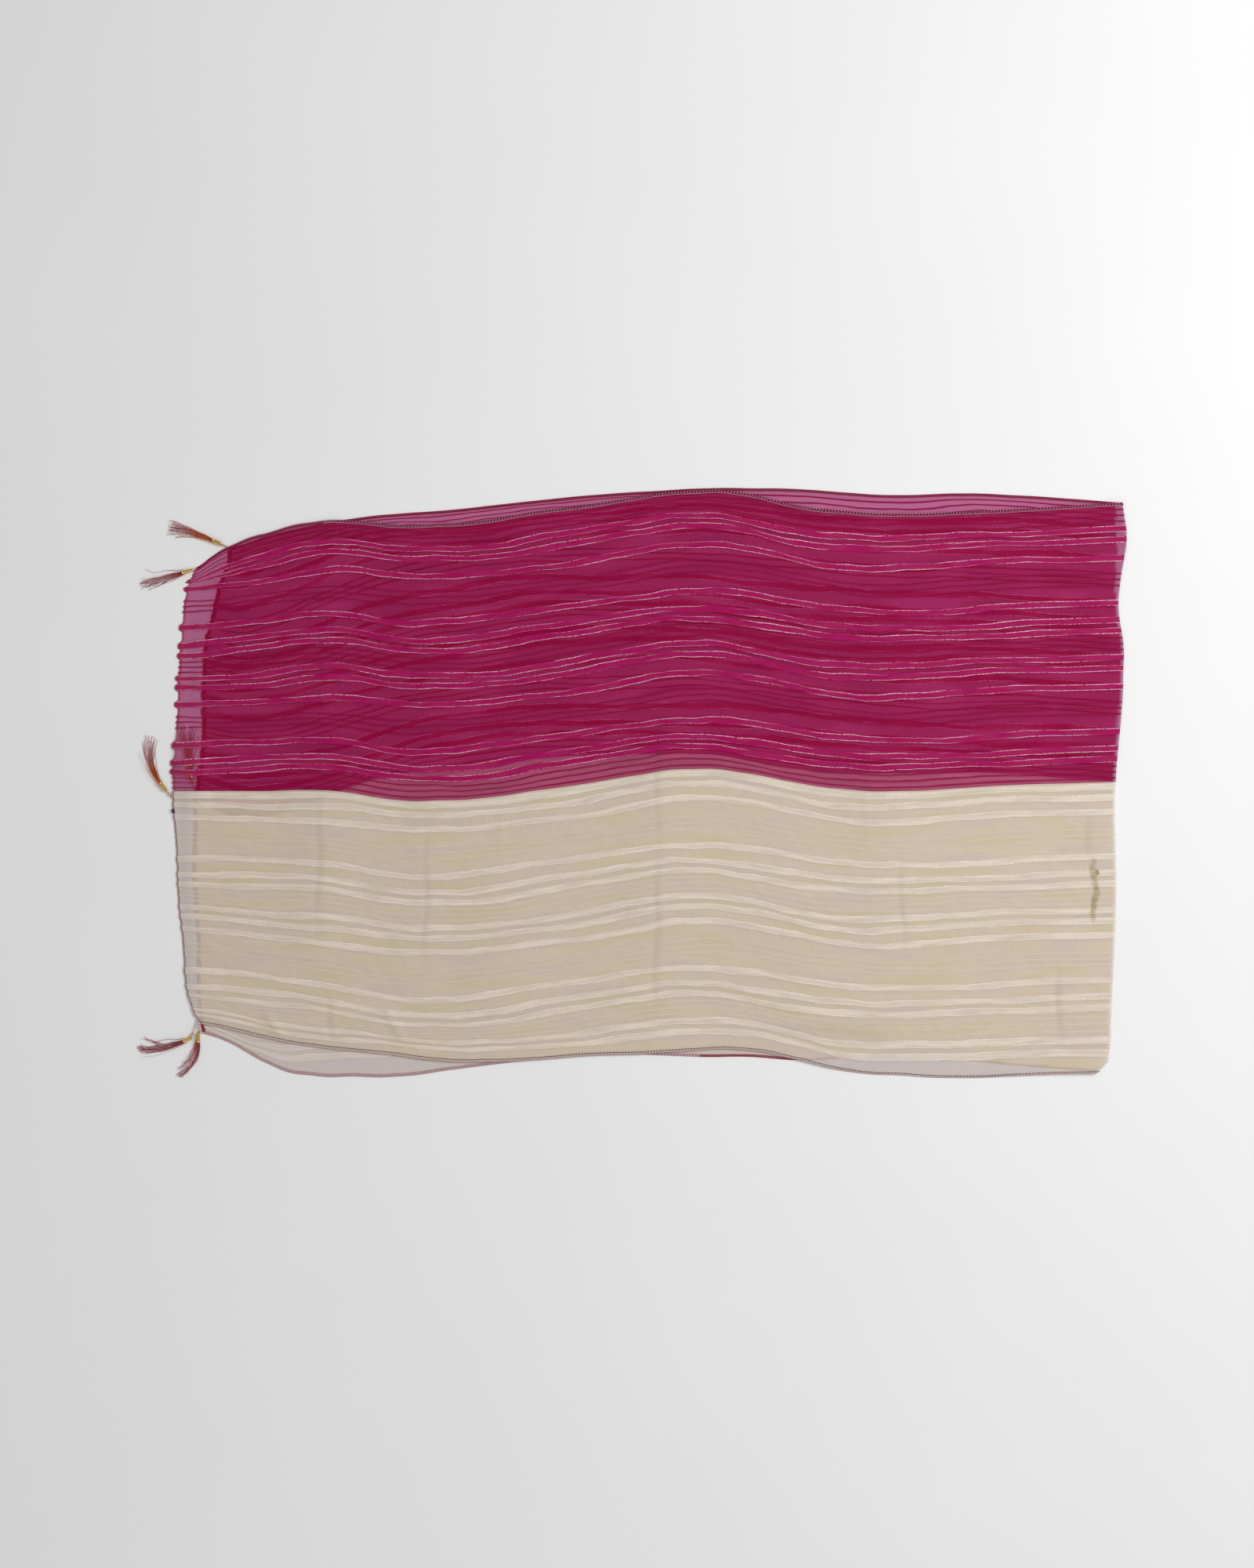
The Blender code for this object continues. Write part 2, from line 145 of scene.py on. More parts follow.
UPPER_SECTIONS = table(
    Section,
    (-562, 256, -8, -284),
    (-536, 256, -8, -284),
    (-517, 269, -8, -286),
    (-489, 284, -8, -292),
    (-447, 298, -8, -302),
    (-396, 310, -7, -311),
    (-354, 312, -10, -316),
    (-303, 307, -18, -321),
    (-247, 308, -19, -328),
    (-192, 312, -16, -329),
    (-136, 322, -8, -327),
    (-71, 330, 1, -322),
    (-10, 340, 11, -320),
    (55, 347, 18, -316),
    (111, 345, 14, -315),
    (171, 331, 3, -325),
    (236, 323, -6, -340),
    (301, 320, -8, -345),
    (366, 322, -5, -348),
    (432, 325, -1, -346),
    (497, 329, 1, -343),
    (562, 333, 3, -343),
)

LOWER_SECTIONS = table(
    Section,
    (-536, 280, -14, -293),
    (-498, 280, -37, -305),
    (-452, 293, -37, -330),
    (-396, 306, -20, -345),
    (-350, 314, -3, -346),
    (-294, 320, 12, -346),
    (-238, 324, 18, -339),
    (-182, 330, 25, -332),
    (-117, 337, 32, -325),
    (-52, 343, 34, -320),
    (13, 347, 36, -321),
    (69, 350, 36, -323),
    (125, 350, 28, -323),
    (180, 349, 19, -327),
    (236, 345, 14, -325),
    (301, 342, 13, -324),
    (366, 344, 14, -327),
    (432, 342, 12, -333),
    (497, 338, 7, -338),
    (562, 333, 3, -343),
)

# share: 1 at the magenta edge, 0 at the seam, -1 at the cream edge
ACROSS = table(
    Across,
    (-1.00, -530, -527, 534),
    (-0.98, -534, -528, 542),
    (-0.93, -540, -530, 548),
    (-0.84, -547, -532, 550),
    (-0.72, -550, -533, 552),
    (-0.60, -553, -533, 554),
    (-0.45, -557, -536, 556),
    (-0.25, -559, -538, 556),
    (-0.12, -562, -537, 555),
    (0.00, -563, -536, 556),
    (0.12, -563, -531, 559),
    (0.25, -560, -528, 563),
    (0.40, -558, -528, 565),
    (0.50, -557, -527, 565),
    (0.60, -555, -525, 560),
    (0.70, -553, -520, 561),
    (0.80, -551, -514, 566),
    (0.88, -548, -508, 569),
    (0.94, -544, -499, 567),
    (1.00, -537, -497, 564),
)

# how wide the painted sheen, a lighter strip along the fold, is at shares from the cream edge to the magenta
# edge
GLOW_SHARES = (-1.0, -0.5, 0.0, 0.2, 0.35, 0.5, 0.65, 0.8, 0.9, 1.0)
GLOW_WIDTHS = (4.0, 3.0, 3.5, 5.0, 4.5, 3.5, 4.0, 9.0, 13.0, 8.0)
GLOW_FULL = 0.95           # the part of its width where it is at its lightest
GLOW_SHARPNESS = 9.0

SWELLS = table(
    Swell,
    (-470, 150, 60, 90, 1.2),
    (-391, -60, 34, 190, 1.8),
    (-330, 240, 70, 60, 1.4),
    (-261, 60, 38, 230, 1.5),
    (-173, -190, 45, 120, 1.6),
    (-95, 180, 60, 110, 1.3),
    (11, -40, 40, 260, 2.0),
    (120, 230, 75, 80, 1.5),
    (180, -230, 60, 80, 1.6),
    (280, 20, 42, 240, 1.7),
    (390, 190, 70, 110, 1.2),
    (484, -200, 40, 110, 1.5),
)

TASSEL_HUMP = Swell(-541, 18, 20, 42, 4.2)

TASSELS = table(
    Tassel,
    ("lower", 1.00, -505.9, 284.6, 154, -567.8, 305.5, 12),
    ("upper", 1.00, -541.5, 253.3, 196, -601.7, 236.7, 13),
    ("upper", -0.03, -571.0, -7.0, 130, -588.7, 55.8, 14),
    ("lower", 0.015, -540.3, 4.6, 100, -543.1, 67.9, 11),
    ("upper", -0.97, -540.6, -300.4, 208, -604.0, -310.6, 11),
    ("lower", -1.00, -532.6, -295.5, 268, -558.0, -345.0, 12),
)

# soft troughs (negative rise) and ridges in the cloth, pressed in by how it was stored and laid
CREASES = {
    "upper": table(
        Crease,
        (-391, 236, -388, 40, 3.5, -0.45),
        (-389, -10, -392, -172, 4.0, -0.60),
        (-262, 150, -258, -30, 4.5, 0.45),
        (-261, -60, -265, -214, 3.5, -0.50),
        (-174, 60, -171, -120, 5.0, 0.40),
        (11, 130, 12, -60, 4.0, -0.40),
        (12, -90, 8, -262, 4.0, -0.60),
        (258, 110, 262, -70, 4.5, 0.45),
        (300, -96, 303, -190, 3.5, -0.55),
        (486, -226, 488, -300, 4.0, -0.85),
        (522, -40, 524, -86, 5.0, -0.70),
        (-453, -270, -430, -300, 6.0, 1.50),
        (-378, -256, -375, -304, 4.0, -0.90),
        (-312, -262, -288, -305, 6.0, 1.30),
        (-500, 232, -420, 262, 5.0, 0.60),
        (-330, 262, -230, 246, 7.0, -0.60),
        (60, 300, 190, 286, 8.0, 0.70),
        (330, 286, 470, 300, 8.0, 0.60),
        (-80, -280, 60, -268, 7.0, 0.60),
        (150, -286, 300, -304, 8.0, -0.60),
    ),
    "lower": table(
        Crease,
        (-440, 120, -435, -60, 4.5, 0.35),
        (-205, 40, -208, -250, 4.0, 0.35),
        (90, 210, 94, -20, 4.5, 0.35),
        (330, -40, 336, -260, 4.0, 0.35),
        (-470, -296, -300, -332, 6.0, 0.45),
    ),
}

# sideways waver of the woven stripes, and the ground's puckers
UPPER_WAVER = table(
    Ripple,
    (1.80, 340, 2.3, 0.20),
    (0.75, 160, 4.7, 0.62),
    (0.40, 74, 8.3, 0.41),
    (0.22, 29, 14.7, 0.05),
)
LOWER_WAVER = table(
    Ripple,
    (2.30, 430, 1.7, 0.55),
    (1.20, 190, 3.1, 0.12),
    (0.60, 83, 7.3, 0.77),
    (0.22, 31, 15.1, 0.31),
)
WAVER_FADE = 18.0          # no waver at the seam and the long edges, full waver this far from them
FOLD_FADE = 170.0          # and none at the fold, where both leaves meet
SEAM_BENDS = 28.0          # threads further than this from the seam don't follow its short bends
PUCKERS = table(
    Ripple,
    (0.55, 27, 9.3, 0.10),
    (0.30, 15, 17.9, 0.55),
    (0.22, 8.5, 31.3, 0.83),
)


def smooth_curve(rows, place, value):
    """A smooth curve through two of a table's columns, with each slope read from its neighbours."""
    places = np.array([getattr(row, place) for row in rows], float)
    values = np.array([getattr(row, value) for row in rows], float)
    slopes = np.gradient(values, places)

    def at(here):
        first = np.clip(np.searchsorted(places, here) - 1, 0, len(places) - 2)
        step = places[first + 1] - places[first]
        t = np.clip((here - places[first]) / step, 0, 1)
        start = values[first] + slopes[first] * step * t
        end = values[first + 1] - slopes[first + 1] * step * (1 - t)
        return start + (end - start) * t * t * (3 - 2 * t)

    return at


def smooth_step(t):
    t = np.clip(t, 0, 1)
    return t * t * (3 - 2 * t)


def rippled(ripples, x, share):
    """Sum of a table's ripples at a point of the cloth."""
    total = 0
    for ripple in ripples:
        turns = x / ripple.wavelength + share * ripple.cycles_across + ripple.phase
        total = total + ripple.height * np.sin(2 * pi * turns)
    return total


def centres(weave, even_group, odd_group, margin):
    """Where one panel's bands or lines lie, in millimetres from the seam."""
    places = []
    for group in range(-1, 6):
        for offset in odd_group if group % 2 else even_group:
            places.append(weave.first_group + group * weave.pitch + offset)
    return [place for place in places if margin < place < CLOTH_WIDTH - margin]


def band_centres(weave):
    return centres(weave, WIDE_GROUP_BANDS, NARROW_GROUP_BANDS, BAND_WIDTH / 2)


def thin_line_centres(weave):
    return centres(weave, GROUP_LINES, GROUP_LINES, LINE_WIDTH)


def raised(share, find_centres, half_width):
    """1 on each of the weave's bands or lines and 0 between them, with soft steps."""
    across = np.abs(share) * CLOTH_WIDTH
    sides = []
    for weave in (MAGENTA_WEAVE, CREAM_WEAVE):
        steps = [np.exp(-(((across - centre) / half_width) ** 4)) for centre in find_centres(weave)]
        sides.append(sum(steps))
    return np.where(share > 0, *sides)


def banded(share):
    return raised(share, band_centres, BAND_STEP)


def lined(share):
    return raised(share, thin_line_centres, LINE_STEP)


class Leaf:
    """One half of the folded scarf: where its end, seam and long edges lie, seen from above.

    A share is 0 at the seam, 1 at the magenta edge and -1 at the cream edge. A woven share counts
    threads of the flat cloth, and a laid share is the place between the seam and the laid edge.
    The calm seam is smoother, because it is read from one in calm_step of the sections.
    """

    def __init__(self, name, sections, end_column, waver, calm_step):
        self.name = name
        self.waver = waver
        calm = sections[:-1:calm_step] + sections[-1:]
        self.calm_seam = smooth_curve(calm, "x", "seam")
        self.magenta_edge = smooth_curve(sections, "x", "magenta_edge")
        self.seam = smooth_curve(sections, "x", "seam")
        self.cream_edge = smooth_curve(sections, "x", "cream_edge")
        self.end = smooth_curve(ACROSS, "share", end_column)

    def laid(self, x, woven):
        """The laid share of a woven share at this place along the scarf."""
        edge = np.where(woven > 0, self.magenta_edge(x), self.cream_edge(x))
        width = np.abs(edge - self.seam(x))
        across = np.abs(woven) * CLOTH_WIDTH
        gather = GATHERED + (1 - GATHERED) * smooth_step((x - GATHER_FROM) / GATHER_LENGTH)
        past_knee = np.maximum(across - KNEE, 0) / (CLOTH_WIDTH - KNEE)
        laid_across = np.minimum(across, KNEE) * gather + past_knee * (width - KNEE * gather)
        return np.sign(woven) * laid_across / width

    def y(self, x, woven):
        """Where a thread of the weave lies across the scarf."""
        bends = np.exp(-((woven * CLOTH_WIDTH / SEAM_BENDS) ** 2))
        seam = self.calm_seam(x) + (self.seam(x) - self.calm_seam(x)) * bends
        edge = np.where(woven > 0, self.magenta_edge(x), self.cream_edge(x))
        from_sides = np.minimum(np.abs(woven), 1 - np.abs(woven)) * CLOTH_WIDTH
        waver = rippled(self.waver, x, woven) * smooth_step(from_sides / WAVER_FADE)
        waver = waver * smooth_step((FOLD_PLACE - x) / FOLD_FADE)
        return seam + np.abs(self.laid(x, woven)) * (edge - seam) + waver

    def x(self, along, woven, inset):
        """The point this far along, from 0 at the cut end, less the inset, to 1 at the fold."""
        reach = np.where(woven > 0, MAGENTA_TAB, CREAM_TAB) * (LOWER_TABS if self.name == "lower" else 1)
        tabs = reach * (GROUND_DRAWN_IN - np.maximum(banded(woven), LINE_TAB * lined(woven)))
        start = self.end(self.laid(GATHER_FROM, woven)) + inset
        from_end = along * (fold_start(woven) - start)
        return start + from_end + tabs * (1 - smooth_step(from_end / TAB_ROOT))

    def height(self, x, y, woven):
        """Height of the leaf's cloth above the surface."""
        base = CLOTH / 2 if self.name == "lower" else upper_height(x, y, woven)
        from_fold = fold_start(woven) - x
        return base + relief(self.name, x, y, woven) * smooth_step(from_fold / SWELL_FADE)

    def margin(self, x, y, woven):
        """How far inside this leaf's outline a point lies."""
        beside = np.minimum(self.magenta_edge(x) - y, y - self.cream_edge(x))
        return np.minimum(beside, x - self.end(self.laid(x, woven)))


fold_edge = smooth_curve(ACROSS, "share", "fold")
UPPER = Leaf("upper", UPPER_SECTIONS, "upper_end", UPPER_WAVER, 1)
LOWER = Leaf("lower", LOWER_SECTIONS, "lower_end", LOWER_WAVER, 3)


def fold_start(woven):
    """Where the two leaves begin to turn into the fold."""
    return fold_edge(UPPER.laid(FOLD_PLACE, woven)) - FOLD_RADIUS - CLOTH / 2


def swelling(swell, x, y, power=2):
    """Height that one swell adds at a point."""
    length = np.abs((x - swell.x) / swell.half_length) ** power
    width = np.abs((y - swell.y) / swell.half_width) ** power
    return swell.rise * np.exp(-length - width)


def cover(x, y, woven):
    """1 where the upper leaf lies on the lower one, falling to 0 past the lower one's outline."""
    return 1 - smooth_step((-LOWER.margin(x, y, woven) - COVER_MARGIN) / COVER_DROP)


def upper_height(x, y, woven):
    """Height of the upper leaf's middle above the surface, as in the solid."""
    from_fold = fold_start(woven) - x
    laid = CLOTH + LAYER_GAP
    rise = 2 * FOLD_RADIUS - laid
    swells = sum(swelling(swell, x, y) for swell in SWELLS) * smooth_step(from_fold / SWELL_FADE)
    on_lower = laid + swells + rise * (1 - smooth_step(from_fold / FOLD_SLOPE))
    hump = swelling(TASSEL_HUMP, x, y, power=4)
    return CLOTH / 2 + on_lower * cover(x, y, woven) + hump


def creasing(crease, x, y):
    """Height that one crease adds: deepest along its line, fading to its sides and ends."""
    run = np.array([crease.x2 - crease.x1, crease.y2 - crease.y1], float)
    length = np.hypot(*run)
    run /= length
    along = (x - crease.x1) * run[0] + (y - crease.y1) * run[1]
    aside = (y - crease.y1) * run[0] - (x - crease.x1) * run[1]
    aside = aside + CREASE_WANDER * np.sin(along / CREASE_WANDER_LENGTH)
    middle = (along / length - 0.5) * 2
    return crease.rise * np.exp(-((aside / crease.half_width) ** 2) - np.abs(middle) ** 4)


def creased(points):
    """How near to a trough of the upper leaf each point of a panel lies, in either leaf, from 0 to 1; it
    places the painted shade of the creases.
    """
    x, y = points[:, :, 0], points[:, :, 1]
    return sum(creasing(crease, x, y) / crease.rise for crease in CREASES["upper"] if crease.rise < 0)


def relief(leaf, x, y, share):
    """Fine form of a leaf: bands a little proud, puckered ground and the creases of its table."""
    bands = banded(share)
    small = BAND_RISE * bands + PUCKER * (1 - bands) * rippled(PUCKERS, x, share)
    edge_fade = smooth_step((1 - np.abs(share)) * CLOTH_WIDTH / RELIEF_FADE)
    creases = sum(creasing(crease, x, y) for crease in CREASES[leaf])
    return small * edge_fade + creases


def operator(operation, reflected=False):
    """A way to write one maths node; a reflected one has its wire as the second value."""
    def apply(wire, other):
        return wire.maths(operation, other, wire) if reflected else wire.maths(operation, wire, other)

    return apply


class Wire:
    """The value at a node's output, with the operators that the finishes are written with."""

    __add__ = operator("ADD")
    __radd__ = operator("ADD", reflected=True)
    __sub__ = operator("SUBTRACT")
    __rsub__ = operator("SUBTRACT", reflected=True)
    __mul__ = operator("MULTIPLY")
    __rmul__ = operator("MULTIPLY", reflected=True)
    __truediv__ = operator("DIVIDE")
    power = operator("POWER")

    def __init__(self, finish, socket):
        self.finish = finish
        self.socket = socket

    def maths(self, operation, *values):
        inputs = dict(enumerate(values))
        return self.finish.node("ShaderNodeMath", {"operation": operation}, inputs)

    def wave(self):
        """Sine of the value, brought to the range from 0 to 1."""
        return self.maths("SINE", self) * 0.5 + 0.5

    def between(self, low, high):
        """0 below low, 1 above high and a soft step in between."""
        settings = {"interpolation_type": "SMOOTHSTEP"}
        return self.finish.node("ShaderNodeMapRange", settings, {0: self, 1: low, 2: high})


class Finish:
    """A material under construction."""

    def __init__(self, name):
        self.material = bpy.data.materials.new(name)
        self.material.use_nodes = True
        self.tree = self.material.node_tree
        self.tree.nodes.clear()

    def node(self, kind, settings=None, inputs=None, output=0):
        """Makes a node: its settings first, then its sockets' values or links."""
        made = self.tree.nodes.new(kind)
        for key, value in (settings or {}).items():
            if key == "stops":
                self.set_stops(made.color_ramp, value)
            else:
                setattr(made, key, value)
        for key, value in (inputs or {}).items():
            if isinstance(value, Wire):
                self.tree.links.new(value.socket, made.inputs[key])
            else:
                made.inputs[key].default_value = value
        return Wire(self, made.outputs[output])

    def set_stops(self, ramp, stops):
        while len(ramp.elements) < len(stops):
            ramp.elements.new(1)
        for element, (place, colour) in zip(ramp.elements, stops):
            element.position = place
            element.color = (*colour, 1)

    def attribute(self, name):
        return self.node("ShaderNodeAttribute", {"attribute_name": name}, output=2)

    def place(self):
        """A point's place on the object, in metres."""
        return self.node("ShaderNodeTexCoord", output=3)

    def vector(self, x, y):
        return self.node("ShaderNodeCombineXYZ", inputs={0: x, 1: y})

    def noise(self, place, scale=1.0, detail=2.0):
        inputs = {"Vector": place, "Scale": scale, "Detail": detail}
        return self.node("ShaderNodeTexNoise", inputs=inputs)

    def mix(self, factor, first, second):
        """Blends two colours."""
        colours = [(*c, 1) if isinstance(c, tuple) else c for c in (first, second)]
        inputs = {0: factor, 6: colours[0], 7: colours[1]}
        return self.node("ShaderNodeMix", {"data_type": "RGBA"}, inputs, output=2)

    def scaled(self, colour, factor):
        """Makes a colour brighter or darker."""
        settings = {"operation": "SCALE"}
        return self.node("ShaderNodeVectorMath", settings, {0: colour, "Scale": factor})

    def bump(self, height, distance, strength=1.0):
        inputs = {"Height": height, "Distance": distance, "Strength": strength}
        return self.node("ShaderNodeBump", inputs=inputs)

    def shader(self, **inputs):
        """A Principled shader; an underscore in a name stands for a space."""
        named = {key.replace("_", " "): value for key, value in inputs.items()}
        return self.node("ShaderNodeBsdfPrincipled", inputs=named)

    def done(self, surface):
        output = self.tree.nodes.new("ShaderNodeOutputMaterial")
        self.tree.links.new(surface.socket, output.inputs["Surface"])
        return self.material

    def see_through(self, surface, solidity, tint):
        """Lets light of one tint pass between the threads."""
        clear = self.node("ShaderNodeBsdfTransparent", inputs={"Color": (*tint, 1)})
        return self.node("ShaderNodeMixShader", inputs={0: solidity, 1: clear, 2: surface})


Dye = namedtuple("Dye", (
    "name ground ground_dark faded shaded single tint solidity band band_dark band_fade flecks "
    "line line_solidity silver silver_share glow gloss crease_dirt"
))

# faded and shaded: the ground's colour in larger patches; single: its colour where it lies in one
# layer; band_fade: how much of the ground's colour the bands take on; flecks: how bright their
# metallic ribs are; silver_share: how much of the silver thread shows; glow: a painted sheen, the
# lighter strip along the fold; the last: how much darker the troughs of the creases are, as painted
# shade with a little soil
MAGENTA = Dye(
    name="magenta",
    ground=(0.42, 0.004, 0.058),
    ground_dark=(0.26, 0.001, 0.028),
    faded=(0.45, 0.018, 0.096),
    shaded=(0.31, 0.002, 0.038),
    single=(0.40, 0.038, 0.075),
    tint=(0.96, 0.68, 0.96),
    solidity=0.48,
    band=(0.375, 0.002, 0.108),
    band_dark=(0.245, 0.001, 0.052),
    band_fade=0.25,
    flecks=0.07,
    line=(0.28, 0.001, 0.046),
    line_solidity=0.85,
    silver=(1.0, 0.78, 0.89),
    silver_share=0.57,
    glow=(0.47, 0.19, 0.28),
    gloss=0.08,
    crease_dirt=0.07,
)
CREAM = Dye(
    name="cream",
    ground=(0.810, 0.685, 0.555),
    ground_dark=(0.690, 0.570, 0.435),
    faded=(0.740, 0.640, 0.420),
    shaded=(0.720, 0.610, 0.540),
    single=(0.640, 0.560, 0.540),
    tint=(0.97, 0.95, 0.95),
    solidity=0.62,
    band=(0.652, 0.560, 0.464),
    band_dark=(0.580, 0.489, 0.390),
    band_fade=0.62,
    flecks=0.50,
    line=(0.715, 0.612, 0.495),
    line_solidity=0.85,
    silver=(1.0, 0.98, 0.97),
    silver_share=0.46,
    glow=(0.80, 0.74, 0.68),
    gloss=0.25,
    crease_dirt=0.08,
)

RIB_PITCH = 2.05           # crosswise ribs of the weave
SILVER_STITCH = 2.6        # from one float of the silver thread to the next
BAND_SOLIDITY = 0.96
SILVER_SOLIDITY = 0.97


class ClothFinish(Finish):
    """A finish of one panel, placed by the cloth's own coordinates in millimetres."""

    def __init__(self, dye, part):
        super().__init__(f"{dye.name}_{part}")
        self.dye = dye
        self.along = self.attribute("along")
        self.across = self.attribute("across")

    def mottle(self, along, across, detail=2.0, shift=0.0):
        """Uneven patches; along and across say how many to a millimetre."""
        return self.noise(self.vector(self.along * along, self.across * across + shift), detail=detail)

    def weave(self):
        """Crosswise ribs from 0 to 1, and the patches in which they are stronger."""
        jitter = self.mottle(0.5, 0.22, 1.0)
        return (self.along * (2 * pi / RIB_PITCH) + jitter * 5.0).wave(), self.mottle(0.035, 0.09, 3.0)

    def cloth(self, colour, solidity, **looks):
        """The finished material, with painted shade and a little soil in the creases, and light that passes
        between the threads.
        """
        # painted shade, with a little soil, darkens the troughs of the creases
        colour = self.scaled(colour, 1 - self.attribute("creased") * self.dye.crease_dirt)
        # the cream gets a darker olive-brown mark near the fold, with a red spot
        if self.dye is CREAM:
            colour = with_olive_mark(self, colour)
        surface = self.shader(Base_Color=colour, **looks)
        return self.done(self.see_through(surface, solidity, self.dye.tint))


def ground_finish(dye):
    """Sheer ground weave: fine crosswise ribs, uneven dye and lengthwise slubs."""
    finish = ClothFinish(dye, "sheer_ground")
    ribs, patches = finish.weave()
    slubs = finish.mottle(0.012, 0.9, 3.0)
    gathers = finish.mottle(0.45, 0.05)
    ribbed = ribs * patches.between(0.35, 0.70)
    grain = finish.mottle(0.9, 1.3, 3.0)
    dark = slubs.between(0.35, 0.75) * 0.45 + ribbed * 0.20 + gathers.between(0.40, 0.70) * 0.18
    colour = finish.mix(dark + (grain - 0.5) * 0.8, dye.ground, dye.ground_dark)
    faded = finish.mottle(0.011, 0.055, shift=7.0)
    colour = finish.mix(faded.between(0.48, 0.68) * 0.75, colour, dye.faded)
    colour = finish.mix((0.50 - faded).between(0.0, 0.18) * 0.70, colour, dye.shaded)
    colour = finish.mix((1 - finish.attribute("doubled")) * 0.9, colour, dye.single)
    # painted sheen: the ground is lighter in a strip along the fold
    colour = finish.mix(finish.attribute("fold_glow") * 0.9, colour, dye.glow)
    return finish.cloth(
        colour,
        dye.solidity + 0.08 * (ribs - 0.5) + 0.12 * (slubs - 0.5),
        Roughness=0.70,
        Normal=finish.bump(ribs * 0.5 + grain * 1.5, 0.0002, 0.55),
        Specular_IOR_Level=dye.gloss,
    )


def band_finish(dye):
    """Dense woven band with a satin look, crosswise ribs and, in places, metallic ribs."""
    finish = ClothFinish(dye, "satin_band")
    ribs, patches = finish.weave()
    streaks = finish.mottle(0.02, 0.7)
    dark = ribs * 0.20 + streaks.between(0.3, 0.75) * 0.6
    colour = finish.mix(dark, dye.band, dye.band_dark)
    thin = finish.mottle(0.017, 0.25, shift=3.0)
    colour = finish.mix(thin.between(0.38, 0.66) * dye.band_fade, colour, dye.ground)
    flecks = finish.mottle(1.3, 1.1)
    bright = (0.4 + 0.6 * ribs) * flecks.between(0.48, 0.66) * patches.between(0.40, 0.60) * dye.flecks
    colour = finish.mix(bright, colour, dye.silver)
    colour = finish.mix((1 - finish.attribute("doubled")) * dye.band_fade, colour, dye.single)
    return finish.cloth(
        colour,
        BAND_SOLIDITY,
        Roughness=0.52 - ribs * 0.08,
        Normal=finish.bump(ribs * 0.6 + flecks * 0.6, 0.0002, 0.5),
        Specular_IOR_Level=dye.gloss * 1.5,
    )


def line_finish(dye):
    """Thin dense lines of the same dye, with no silver thread."""
    finish = ClothFinish(dye, "thin_line")
    ribs, patches = finish.weave()
    colour = finish.mix(ribs * 0.4 + patches * 0.3, dye.line, dye.band_dark)
    return finish.cloth(
        colour,
        dye.line_solidity + 0.2 * (patches - 0.5),
        Roughness=0.6,
        Normal=finish.bump(ribs, 0.0002, 0.5),
        Specular_IOR_Level=dye.gloss,
    )


def silver_finish(dye):
    """Flat metallic thread that floats in stitches over the band's edge, so it shows as dashes."""
    finish = ClothFinish(dye, "silver_thread")
    runs = finish.mottle(0.013, 0.9)
    dots = (finish.along * (2 * pi / SILVER_STITCH)).wave()
    breaks = finish.mottle(0.25, 1.3, 1.0)
    often = 0.60 - dye.silver_share * 0.25
    seen = runs.between(often, often + 0.08) * breaks.between(often - 0.12, often + 0.02)
    glints = finish.mottle(0.6, 0.3, 1.0)
    shown = seen * (0.22 + 0.78 * dots) * (0.55 + 0.45 * glints.between(0.42, 0.58))
    colour = finish.mix(shown, dye.band, dye.silver)
    return finish.cloth(
        colour,
        SILVER_SOLIDITY,
        Roughness=0.50 - shown * 0.25,
        Metallic=shown * 0.30,
        Normal=finish.bump(dots, 0.0003, 0.6),
        Specular_IOR_Level=dye.gloss,
    )


OLIVE_MARK_PLACE = (532.0, -124.0)
OLIVE_MARK_SIZE = (5.0, 43.0)
RED_SPOT = (533.5, -105.0)
RED_SPOT_SIZE = (2.6, 4.0)
OLIVE_MARK_COLOUR = (0.36, 0.28, 0.13)
RED_SPOT_COLOUR = (0.30, 0.11, 0.06)
FLOSS_TONES = [
    (0.00, (0.84, 0.72, 0.72)),
    (0.25, (0.70, 0.48, 0.50)),
    (0.48, (0.54, 0.25, 0.27)),
    (0.74, (0.37, 0.075, 0.090)),
    (1.00, (0.16, 0.024, 0.040)),
]
GOLD = (0.80, 0.54, 0.18)
WORN_GOLD = (0.55, 0.34, 0.10)
BOARD = (0.80, 0.80, 0.80)
BOARD_MOTTLE = (0.84, 0.84, 0.835)


def with_olive_mark(finish, colour):
    """An olive-brown mark in a broken line on the cream cloth near the fold, with one red spot."""
    place = finish.place()
    x, y = [
        finish.node("ShaderNodeSeparateXYZ", inputs={0: place}, output=axis) / MM - shift
        for axis, shift in enumerate((shift_x, shift_y))
    ]
    from_x = (x - OLIVE_MARK_PLACE[0] + (y * 0.11).wave() * 4.0) / OLIVE_MARK_SIZE[0]
    from_y = (y - OLIVE_MARK_PLACE[1]) / OLIVE_MARK_SIZE[1]
    ragged = finish.noise(finish.vector(x * 0.16, y * 0.09), detail=3.0)
    near = from_x * from_x + from_y.power(4) + ragged * 2.4
    amount = (1 - near.between(0.9, 2.4)) * 0.75
    colour = finish.mix(amount, colour, OLIVE_MARK_COLOUR)
    spot_x = (x - RED_SPOT[0]) / RED_SPOT_SIZE[0]
    spot_y = (y - RED_SPOT[1]) / RED_SPOT_SIZE[1]
    spot = (1 - (spot_x * spot_x + spot_y * spot_y).between(0.4, 1.2)) * 0.7
    return finish.mix(spot, colour, RED_SPOT_COLOUR)


def mottled_thread(finish, shade, plies):
    """The common end of the thread finishes."""
    surface = finish.shader(
        Base_Color=shade,
        Roughness=0.6,
        Normal=finish.bump(plies, 0.0002, 0.5),
        Specular_IOR_Level=0.2,
    )
    return finish.done(surface)


def thread_finish(name, colour, colour_dark):
    """Twisted polyester sewing thread."""
    finish = Finish(name)
    place = finish.scaled(finish.place(), 1 / MM)
    plies = finish.noise(place, scale=1.4, detail=2.0)
    return mottled_thread(finish, finish.mix(plies.between(0.35, 0.65), colour, colour_dark), plies)


